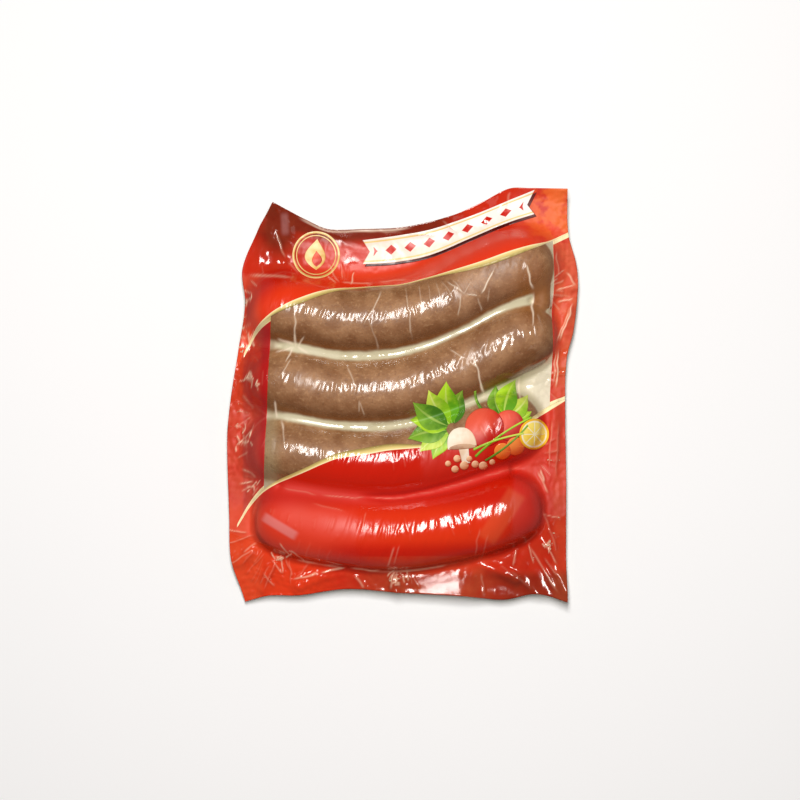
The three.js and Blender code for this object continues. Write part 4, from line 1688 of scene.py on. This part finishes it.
@dataclass(frozen=True)
class FilmPanel:
    """One panel of the printed web, between two columns and two rows of the plan."""

    name: str
    across: tuple[int, int]
    up: tuple[int, int]
    slot: str

    COLUMN_FACES = (42, 356, 24)
    ROW_FACES = (110, 3, 150, 3, 60)

    def build(self, film: DrawnFilm, material: bpy.types.Material) -> bpy.types.Object:
        """Lays the panel on the film.

        Args:
            film: The drawn film.
            material: The panel's finish.

        Returns:
            The finished piece.
        """
        columns = sum(self.COLUMN_FACES[self.across[0]: self.across[1]])
        rows = sum(self.ROW_FACES[self.up[0]: self.up[1]])
        places: dict[str, Array] = {}

        def warp(u: Array, v: Array) -> tuple[Array, Array]:
            """Takes places on the panel to the plan, and keeps them."""
            across = self.spread(u, self.across, self.COLUMN_FACES)
            up = self.spread(v, self.up, self.ROW_FACES)
            x, y = PLAN.crossings(across, up)
            places.update(across=across, up=up, x=x, y=y)
            return x, y

        mesh = warped_grid(self.name, (columns, rows), warp, film, Web.FACE)
        self.paint_stripes(mesh, **places)
        self.paint_window(mesh, film, places["x"], places["y"])
        self.paint_print(mesh, film, places["x"], places["y"])
        piece = dressed(mesh, self.name, material)
        if self.slot == "clear_film":
            piece.visible_shadow = False
        else:
            thickened(piece, WEB_THICKNESS)
        return piece

    @staticmethod
    def spread(share: Array, span: tuple[int, int], faces: tuple[int, ...]) -> Array:
        """Turns a share of the panel into a place among the plan's lines, by the faces between them."""
        counts = np.array(faces[span[0]: span[1]], float)
        edges = np.concatenate([[0.0], np.cumsum(counts)]) / counts.sum()
        return np.interp(share, edges, np.arange(span[0], span[1] + 1))

    @staticmethod
    def paint_stripes(mesh: bpy.types.Mesh, across: Array, up: Array, x: Array, y: Array) -> None:
        """Stores where the golden stripes and the crimson strip lie.

        Args:
            mesh: The panel's mesh.
            across: Each vertex's place among the columns.
            up: Its place among the rows.
            x: Its x.
            y: Its y.
        """
        lower = up < MID_WINDOW_ROW
        band = np.where(lower, up - 1, 4 - up)
        tips = smoothstep((x - np.where(lower, *STRIPE_TIPS)) / STRIPE_TIP_FADE)
        tips *= 0.2 + GOLD_LEFT_OF_EDGE.level(x, y)
        store(mesh, "band", np.where(band <= 1.02, np.clip(band, 0.0, 1.0) * tips, 0.0))
        beside = smoothstep((1.0 - across) / LINE_BLUR) * STRIP_START.level(x, y)
        inner = smoothstep((up - 1.99) / LINE_BLUR) * smoothstep((3.01 - up) / LINE_BLUR)
        store(mesh, "strip", beside * inner)

    @staticmethod
    def paint_window(mesh: bpy.types.Mesh, film: DrawnFilm, x: Array, y: Array) -> None:
        """Stores how far the film stands off the links, which side of them it covers, and the painted shade
        on their lower sides.

        Args:
            mesh: The panel's mesh.
            film: The film that it lies on.
            x: Each vertex's x.
            y: Its y.
        """
        off_neck = smoothstep((NECK.distance(x, y) - NECK_FILM_REACH) / NECK_FILM_FADE)
        open_window = 0.35 + WINDOW_RIGHT_OF_EDGE.level(x, y)
        store(mesh, "gap", film.read(film.gap, x, y) * off_neck * open_window)
        store(mesh, "flank", film.read(film.flank, x, y))
        # Painted shade on the links' lower sides, for the film pressed on them.
        store(mesh, "shade", film.read(film.shade, x, y))

    @staticmethod
    def paint_print(mesh: bpy.types.Mesh, film: DrawnFilm, x: Array, y: Array) -> None:
        """Stores the print's tone with painted light, the painted shade, the painted reflections, the painted
        highlight along the top edge, and where the seal is knurled.

        Args:
            mesh: The panel's mesh.
            film: The film that it lies on.
            x: Each vertex's x.
            y: Its y.
        """
        above_stripe, below_edge = y - PLAN.upper_stripe(x), PLAN.top(x) - y
        # Lighter just above the upper stripe and over the lowest link: partly the print's own tone, partly
        # painted light.
        header = smoothstep((17 - above_stripe) / 12) * smoothstep(above_stripe / 2 + 1) * (y > 0)
        lower = LIT_LOWER.level(x, y) * (1 - UNLIT_FOOT.level(x, y))
        store(mesh, "tone", np.clip(header + lower, 0, 1))
        outside = film.read(film.outside, x, y)
        # Painted shade along the top edge, in the shaded places and beside the lowest link's lower side.
        painted_shade = smoothstep((10 - below_edge) / 7) * PAINTED_SHADE_TOP_EDGE.level(x, y)
        under_link = smoothstep((film.read(film.flank, x, y) - 0.5) / 0.4) * (outside < 1.2)
        painted_shade += total_level(PAINTED_SHADE_PLACES, x, y) + under_link * PAINTED_SHADE_UNDER_LINK.level(x, y)
        store(mesh, "painted_shade", np.clip(painted_shade, 0, 1))
        # The painted reflection over the flange and the margins.
        store(mesh, "painted_reflection", FLAT_PAINTED_REFLECTION * smoothstep((outside - 1) / 4) + total_level(PAINTED_REFLECTION_ZONES, x, y))
        # The painted reflections of the sheen patches.
        store(mesh, "sheen", total_level(SHEENS, x, y))
        # The painted highlight along the top edge.
        line = np.exp(-(((below_edge - EDGE_GLINT_INSET) / EDGE_GLINT_HALF_WIDTH) ** 2))
        store(mesh, "edge", line * EDGE_GLINT.level(x, y))
        store(mesh, "seal", KNURLED_SEAL.level(x, y))


PANELS = (
    FilmPanel("lower_print", (0, 3), (0, 2), "printed_film"),
    FilmPanel("left_margin", (0, 1), (2, 3), "printed_film"),
    FilmPanel("clear_window", (1, 2), (2, 3), "clear_film"),
    FilmPanel("right_margin", (2, 3), (2, 3), "printed_film"),
    FilmPanel("header_print", (0, 3), (3, 5), "printed_film"),
)


@dataclass(frozen=True)
class BackWeb:
    """The pale web of film under the links, sealed to the printed one all round."""

    name: str = "back_film"
    faces: tuple[int, int] = (180, 215)

    def build(self, film: DrawnFilm, material: bpy.types.Material) -> bpy.types.Object:
        """Lays the web under the links."""

        def warp(u: Array, v: Array) -> tuple[Array, Array]:
            """Takes places on the web to the plan."""
            x = (u - 0.5) * 170.0
            y = np.zeros_like(x)
            for _ in range(PLACING_ROUNDS):
                y = PLAN.bottom(x) + v * (PLAN.top(x) - PLAN.bottom(x))
                x = PLAN.left(y) + u * (PLAN.right(y) - PLAN.left(y))
            return x, y

        mesh = warped_grid(self.name, self.faces, warp, film, Web.BACK)
        piece = dressed(mesh, self.name, material)
        thickened(piece, WEB_THICKNESS)
        return piece


@dataclass(frozen=True)
class Sausage:
    """One link: a curved closed body with round ends and a slightly lumpy skin."""

    form: LinkForm
    seed: int
    clearance: float = 0.5
    lowest: float = 0.15
    lump: float = 0.1
    rings: int = 220
    sides: int = 88

    def build(self, material: bpy.types.Material) -> bpy.types.Object:
        """Builds the link along its centre line."""
        bm = bmesh.new()
        bmesh.ops.create_uvsphere(bm, u_segments=self.sides, v_segments=self.rings, radius=1.0)
        mesh = new_mesh(self.form.name, bm)
        ball = vertex_places(mesh)
        share = np.clip(ball[:, 2], -1, 1)
        turned = np.arctan2(ball[:, 1], ball[:, 0])
        scale = np.sqrt(np.maximum(1 - np.abs(share) ** END_ROUNDNESS, 0))
        along = share * (self.form.length / 2 - self.clearance)
        lump = self.lump * Noise(self.seed)(along / 7 + 20, turned * 2.2 + 20) * scale
        off = np.cos(turned) * ((self.form.half_width - self.clearance) * scale + lump)
        z = LINK_CENTRE_Z + np.sin(turned) * ((LINK_HALF_HEIGHT - self.clearance) * scale + lump)
        place_vertices(mesh, *self.form.at(along, off), np.maximum(z, self.lowest))
        # Painted shade on the link's lower side.
        store(mesh, "shade", low_side(np.cos(turned)))
        bm = bmesh.new()
        bm.from_mesh(mesh)
        bmesh.ops.recalc_face_normals(bm, faces=bm.faces)
        bm.to_mesh(mesh)
        bm.free()
        return dressed(mesh, self.form.name, material)


@dataclass(frozen=True)
class CasingNeck:
    """The pinched and twisted casing between the two upper links."""

    waist: float = 2.3
    flare: float = 3.6
    pleats: int = 7
    pleat_depth: float = 0.16
    twist: float = 7.2
    reach_into_links: float = 8.0

    def build(self, material: bpy.types.Material) -> bpy.types.Object:
        """Builds the neck from one link to the other."""
        bm = bmesh.new()
        bmesh.ops.create_uvsphere(bm, u_segments=84, v_segments=60, radius=1.0)
        x, y = NECK.middle
        length = math.dist(NECK.start, NECK.end) + self.reach_into_links
        for vertex in bm.verts:
            share = vertex.co.z
            turned = math.atan2(vertex.co.y, vertex.co.x)
            body = self.waist + self.flare * abs(share) ** 2
            pleat = 1 + self.pleat_depth * math.cos(self.pleats * turned + self.twist * share)
            radius = body * pleat * math.sqrt(max(1 - abs(share) ** 8, 0))
            z = LINK_CENTRE_Z + radius * 1.05 * math.sin(turned)
            vertex.co = Vector((x + radius * math.cos(turned), y + share * length / 2, z)) * METRES
        bmesh.ops.recalc_face_normals(bm, faces=bm.faces)
        return dressed(new_mesh("casing_neck", bm), "casing_neck", material)


class Profile(Enum):
    """How a printed shape's width changes along it."""

    ROUND = "round"
    LEAF = "leaf"
    CAP = "cap"
    STEM = "stem"

    def width(self, t: Array) -> Array:
        """Gives the share of the full width at each place from 0 to 1 along the shape."""
        if self is Profile.ROUND:
            return np.sqrt(np.maximum(1 - (2 * t - 1) ** 2, 0))
        if self is Profile.LEAF:
            return np.sin(np.pi * t**0.8) ** 1.15
        if self is Profile.CAP:
            return np.maximum(1 - t**2.6, 0) ** 0.5
        return 0.8 + 0.25 * (1 - t) ** 2


class PrintedPiece(ABC):
    """One shape printed on the face web, laid on it as a thin sheet of ink."""

    name: str
    layer: int

    @abstractmethod
    def grid(self) -> tuple[int, int]:
        """Gives how many faces the shape has along and across."""

    @abstractmethod
    def warp(self, u: Array, v: Array) -> tuple[Array, Array]:
        """Takes places on the grid, from 0 to 1, to the plan."""

    def build(self, film: DrawnFilm, material: bpy.types.Material) -> bpy.types.Object:
        """Lays the shape on the film, and merges the vertices that meet at its ends.

        Args:
            film: The drawn film.
            material: The shape's ink.

        Returns:
            The finished piece.
        """
        lift = INK_LIFT + INK_STEP * self.layer
        mesh = warped_grid(self.name, self.grid(), self.warp, film, Web.FACE, lift)
        bm = bmesh.new()
        bm.from_mesh(mesh)
        bmesh.ops.remove_doubles(bm, verts=bm.verts, dist=INK_MERGE)
        bmesh.ops.dissolve_degenerate(bm, edges=bm.edges, dist=INK_MERGE)
        bm.to_mesh(mesh)
        bm.free()
        piece = dressed(mesh, self.name, material)
        thickened(piece, INK_THICKNESS)
        return piece


@dataclass(frozen=True)
class Stroke(PrintedPiece):
    """A shape with a bent centre line and a width profile."""

    name: str
    start: Point
    end: Point
    half_width: float
    profile: Profile
    bend: float = 0.0
    layer: int = 1

    def grid(self) -> tuple[int, int]:
        """Gives how many faces the shape has along and across."""
        length = math.dist(self.start, self.end)
        return max(6, round(length / PRINT_STEP)), max(6, round(2 * self.half_width / PRINT_STEP))

    def warp(self, u: Array, v: Array) -> tuple[Array, Array]:
        """Takes places on the grid, from 0 to 1, to the plan."""
        (x0, y0), (x1, y1) = self.start, self.end
        length = math.dist(self.start, self.end)
        nx, ny = -(y1 - y0) / length, (x1 - x0) / length
        off = self.bend * 4 * u * (1 - u) + (2 * v - 1) * self.half_width * self.profile.width(u)
        return x0 + (x1 - x0) * u + nx * off, y0 + (y1 - y0) * u + ny * off


@dataclass(frozen=True)
class Disc(PrintedPiece):
    """A round shape or a ring."""

    name: str
    centre: Point
    inner: float
    outer: float
    layer: int = 1

    def grid(self) -> tuple[int, int]:
        """Gives how many faces the shape has round and out from its centre."""
        width = self.outer - self.inner
        return round(2 * math.pi * self.outer / PRINT_STEP), max(3, round(width / PRINT_STEP))

    def warp(self, u: Array, v: Array) -> tuple[Array, Array]:
        """Takes places on the grid, from 0 to 1, to the plan."""
        angle = -2 * np.pi * u
        radius = self.inner + (self.outer - self.inner) * v
        return self.centre[0] + radius * np.cos(angle), self.centre[1] + radius * np.sin(angle)


@dataclass(frozen=True)
class Ribbon(PrintedPiece):
    """A curved ribbon with notched ends, moved down and to the right for its shadow."""

    name: str
    points: tuple[Point, ...]
    half_width: float
    drop: float = 0.0
    slide: float = 0.0
    layer: int = 1
    notch_depth: float = 0.6
    notch_share: float = 0.08
    swell: float = 0.1

    def grid(self) -> tuple[int, int]:
        """Gives how many faces the ribbon has along and across."""
        length = self.points[-1][0] - self.points[0][0]
        return round(length / PRINT_STEP), round(2 * self.half_width / PRINT_STEP)

    def warp(self, u: Array, v: Array) -> tuple[Array, Array]:
        """Takes places on the grid, from 0 to 1, to the plan."""
        x = self.points[0][0] + u * (self.points[-1][0] - self.points[0][0])
        notch = self.notch_depth * self.half_width * (1 - np.abs(2 * v - 1))
        at_start, at_end = (np.maximum(1 - share / self.notch_share, 0) for share in (u, 1 - u))
        x = x + notch * (at_start - at_end)
        half_width = self.half_width * (1 + self.swell * np.sin(2 * np.pi * u))
        return x + self.slide, SmoothCurve(self.points)(x) + (2 * v - 1) * half_width - self.drop


LEAF_INKS = (
    Ink("leaf_ink", ink(96, 164, 14), ink(176, 218, 44), ink(206, 228, 110)),
    Ink("dark_leaf_ink", ink(66, 122, 22), ink(128, 176, 52), ink(176, 202, 100)),
    Ink("young_leaf_ink", ink(140, 192, 26), ink(206, 226, 84), ink(226, 236, 142)),
)
RADISH_INK = BallInk("radish_ink", ink(186, 26, 20), ink(240, 92, 66))
CARROT_INK = BallInk("carrot_ink", ink(226, 84, 20), ink(250, 146, 62))
CREAM_INK = Ink("cream_ink", ink(230, 198, 168), ink(250, 232, 212))
GILL_INK = Ink("gill_ink", ink(168, 118, 84), ink(200, 156, 120))
SEED_INK = BallInk("seed_ink", ink(214, 122, 78), ink(250, 206, 164))
SHADOW_INK = Ink("shadow_ink", ink(70, 8, 6), ink(92, 14, 8))
GOLD_INK = Ink("gold_ink", ink(224, 180, 96), ink(252, 226, 160))
EMBER_INK = Ink("ember_ink", ink(198, 30, 20), ink(238, 92, 62))


@dataclass(frozen=True)
class LeafFan:
    """Broad leaves that spread from one place, each given by its direction in degrees and length."""

    name: str
    root: Point
    leaves: tuple[Point, ...]
    first_layer: int
    root_gap: float = 3.0
    bend: float = 1.4
    width_share: float = 0.29

    def shapes(self) -> list[tuple[PrintedPiece, Ink]]:
        """Gives the leaves with their ink, those behind first."""
        made: list[tuple[PrintedPiece, Ink]] = []
        for number, (angle, length) in enumerate(self.leaves):
            start = polar(self.root, self.root_gap, math.radians(angle))
            end = polar(start, length, math.radians(angle))
            bend = self.bend if number % 2 else -self.bend
            name, layer = f"{self.name}_{number + 1}", self.first_layer + number
            leaf = Stroke(name, start, end, self.width_share * length, Profile.LEAF, bend, layer)
            made.append((leaf, LEAF_INKS[number % len(LEAF_INKS)]))
        return made


@dataclass(frozen=True)
class HerbPrint:
    """The plain picture of leaves, roots, a mushroom and a slice at the right of the lower stripe."""

    fans: tuple[LeafFan, ...] = (
        LeafFan(
            "print_leaf",
            (25, -17),
            ((236, 15), (76, 17), (214, 17), (98, 21), (192, 20), (122, 20), (168, 19), (146, 21)),
            1,
        ),
        LeafFan("print_side_leaf", (49, -13), ((18, 13), (98, 15), (44, 16), (70, 19)), 1),
    )
    chives: tuple[tuple[Point, Point, float], ...] = (
        ((36, -30.5), (64, -11), 1.6),
        ((41, -32.5), (62, -15), -1.2),
        ((35, -27), (60, -19), 1.0),
    )
    seeds: tuple[Point, ...] = (
        (22.5, -34), (27, -31.5), (30.5, -35), (33, -31.6), (36, -34.4), (40, -35.2), (44.5, -33.4),
        (26, -36.8),
    )

    def shapes(self) -> list[tuple[PrintedPiece, Ink]]:
        """Gives each printed shape with its ink, those behind first."""
        made: list[tuple[PrintedPiece, Ink]] = []
        for fan in self.fans:
            made += fan.shapes()
        made += [
            (Disc("print_radish_1", (52.5, -15), 0.0, 7.6, 9), RADISH_INK),
            (Stroke("print_radish_stalk", (40, -8), (36, 2), 0.8, Profile.STEM, 1.0, 10), LEAF_INKS[1]),
            (Disc("print_radish_2", (40.5, -16), 0.0, 9.6, 11), RADISH_INK),
            (Disc("print_carrot_1", (56, -25.5), 0.0, 4.6, 10), CARROT_INK),
            (Disc("print_carrot_2", (49.5, -28), 0.0, 4.2, 12), CARROT_INK),
            (Disc("print_slice", (65.5, -19.5), 0.0, 7.8, 12), SLICE_INK),
            (Stroke("print_cap_stem", (30, -25.5), (31.5, -34), 2.5, Profile.STEM, 0.0, 13), CREAM_INK),
            (Stroke("print_cap", (29.5, -26), (28, -16), 7.2, Profile.CAP, 0.0, 14), CREAM_INK),
            (Stroke("print_gills", (23, -26.4), (36.2, -25.4), 1.3, Profile.ROUND, 0.4, 15), GILL_INK),
        ]
        for number, (start, end, bend) in enumerate(self.chives):
            name = f"print_chive_{number + 1}"
            made.append((Stroke(name, start, end, 0.55, Profile.STEM, bend, 16 + number), LEAF_INKS[number]))
        for number, centre in enumerate(self.seeds):
            size = 1.5 + 0.35 * (number % 3)
            made.append((Disc(f"print_seed_{number + 1}", centre, 0.0, size, 12 + number), SEED_INK))
        return made


@dataclass(frozen=True)
class HeaderPrint:
    """The plain ribbon and ringed flame printed on the header."""

    ribbon_points: tuple[Point, ...] = ((-20, 71.5), (-4, 73), (14, 76.5), (34, 84), (52, 91.5), (66, 96.5))
    ribbon_half_width: float = 6.0
    ring_centre: Point = (-43.2, 70.1)
    ring_radius: float = 11.9

    def shapes(self) -> list[tuple[PrintedPiece, Ink]]:
        """Gives each printed shape with its ink, those behind first."""
        x, y = self.ring_centre
        return [
            (Ribbon("print_shadow", self.ribbon_points, self.ribbon_half_width, 1.2, 1.1), SHADOW_INK),
            (Ribbon("print_ribbon", self.ribbon_points, self.ribbon_half_width, layer=2), RIBBON_INK),
            (Disc("print_ring", (x, y), self.ring_radius - 1.1, self.ring_radius, 2), GOLD_INK),
            (Disc("print_inner_ring", (x, y), self.ring_radius - 2.4, self.ring_radius - 1.9, 2), GOLD_INK),
            (Stroke("print_flame", (x, y - 7.5), (x + 0.6, y + 8.2), 5.2, Profile.LEAF, 0.8, 2), GOLD_INK),
            (Stroke("print_flame_core", (x, y - 5.9), (x, y + 2.2), 2.5, Profile.LEAF, -0.4, 3), EMBER_INK),
        ]


@dataclass(frozen=True)
class LightPanel:
    """A square studio light that faces the pack."""

    name: str
    place: tuple[float, float, float]
    size: tuple[float, float]
    watts: float
    colour: Colour = (1.0, 1.0, 1.0)
    target: tuple[float, float, float] = (0.0, 0.0, 0.015)

    def build(self) -> None:
        """Sets up the light."""
        data = bpy.data.lights.new(self.name, "AREA")
        data.shape = "RECTANGLE"
        data.size, data.size_y = self.size
        data.energy = self.watts
        data.color = self.colour
        light = bpy.data.objects.new(self.name, data)
        bpy.context.scene.collection.objects.link(light)
        light.location = self.place
        aim = Vector(self.target) - Vector(self.place)
        light.rotation_mode = "QUATERNION"
        light.rotation_quaternion = aim.to_track_quat("-Z", "Y")
        light.visible_camera = False


@dataclass(frozen=True)
class Studio:
    """The pale floor, the soft lights and the camera, in metres."""

    camera_height: float = 1.6
    frame_width: float = 0.4
    frame_centre: Point = (-0.00125, -0.0025)
    seen_height: float = 0.012
    sensor: float = 36.0
    floor_size: float = 6.0
    world_strength: float = 0.1
    lights: tuple[LightPanel, ...] = (
        LightPanel("key_light", (-0.03, 0.24, 1.15), (0.2, 0.55), 14.0, (1.0, 0.97, 0.93)),
        LightPanel("right_fill", (0.9, -0.6, 0.75), (0.4, 0.4), 0.6, (1.0, 0.92, 0.84)),
        LightPanel("left_fill", (-0.8, 0.0, 0.9), (0.08, 0.3), 0.22, (1.0, 0.95, 0.92)),
    )

    def build(self) -> None:
        """Builds the floor, the lights, the world and the camera."""
        self.build_floor()
        for light in self.lights:
            light.build()
        world = bpy.data.worlds.new("studio")
        world.use_nodes = True
        background = world.node_tree.nodes["Background"]
        background.inputs["Color"].default_value = (1.0, 0.93, 0.84, 1.0)
        background.inputs["Strength"].default_value = self.world_strength
        bpy.context.scene.world = world
        bpy.context.scene.view_settings.view_transform = "Standard"
        data = bpy.data.cameras.new("camera")
        data.sensor_width = self.sensor
        data.lens = self.sensor * (self.camera_height - self.seen_height) / self.frame_width
        camera = bpy.data.objects.new("camera", data)
        bpy.context.scene.collection.objects.link(camera)
        camera.location = (*self.frame_centre, self.camera_height)
        bpy.context.scene.camera = camera

    def build_floor(self) -> None:
        """Builds the pale floor that the pack lies on."""
        bm = bmesh.new()
        bmesh.ops.create_grid(bm, x_segments=8, y_segments=8, size=self.floor_size / 2)
        mesh = new_mesh("floor", bm)
        floor = bpy.data.objects.new("floor", mesh)
        bpy.context.scene.collection.objects.link(floor)
        kit = NodeKit("floor_paper")
        tone = kit.mixed(kit.noise(300.0), (0.92, 0.93, 0.96), (0.94, 0.95, 0.98))
        mesh.materials.append(kit.finish(kit.plastic({"Base Color": tone, "Roughness": 0.9})))
        floor.visible_glossy = False


def report(pieces: Iterable[bpy.types.Object]) -> None:
    """Logs each piece that was built."""
    for piece in pieces:
        LOG.info("%s: %d faces", piece.name, len(piece.data.polygons))


def main() -> None:
    """Builds the films, the links, the print and the studio in order."""
    logging.basicConfig(level=logging.INFO, format="%(name)s: %(message)s")
    film = DrawnFilm()
    printed = PrintedFilm("printed_film").build()
    clear = ClearFilm().build()
    for panel in PANELS:
        report([panel.build(film, clear if panel.slot == "clear_film" else printed)])
    report([BackWeb().build(film, MilkyFilm("back_film").build())])
    casing = Casing("casing").build()
    for number, form in enumerate(LINKS):
        report([Sausage(form, 90 + number).build(casing)])
    amber = Meat(ink(136, 84, 40), ink(104, 60, 26))
    report([CasingNeck().build(Casing("neck_casing", amber).build())])
    inks: dict[str, bpy.types.Material] = {}
    for shape, finish in HeaderPrint().shapes() + HerbPrint().shapes():
        if finish.name not in inks:
            inks[finish.name] = finish.build()
        report([shape.build(film, inks[finish.name])])
    Studio().build()


if __name__ == "__main__":
    main()
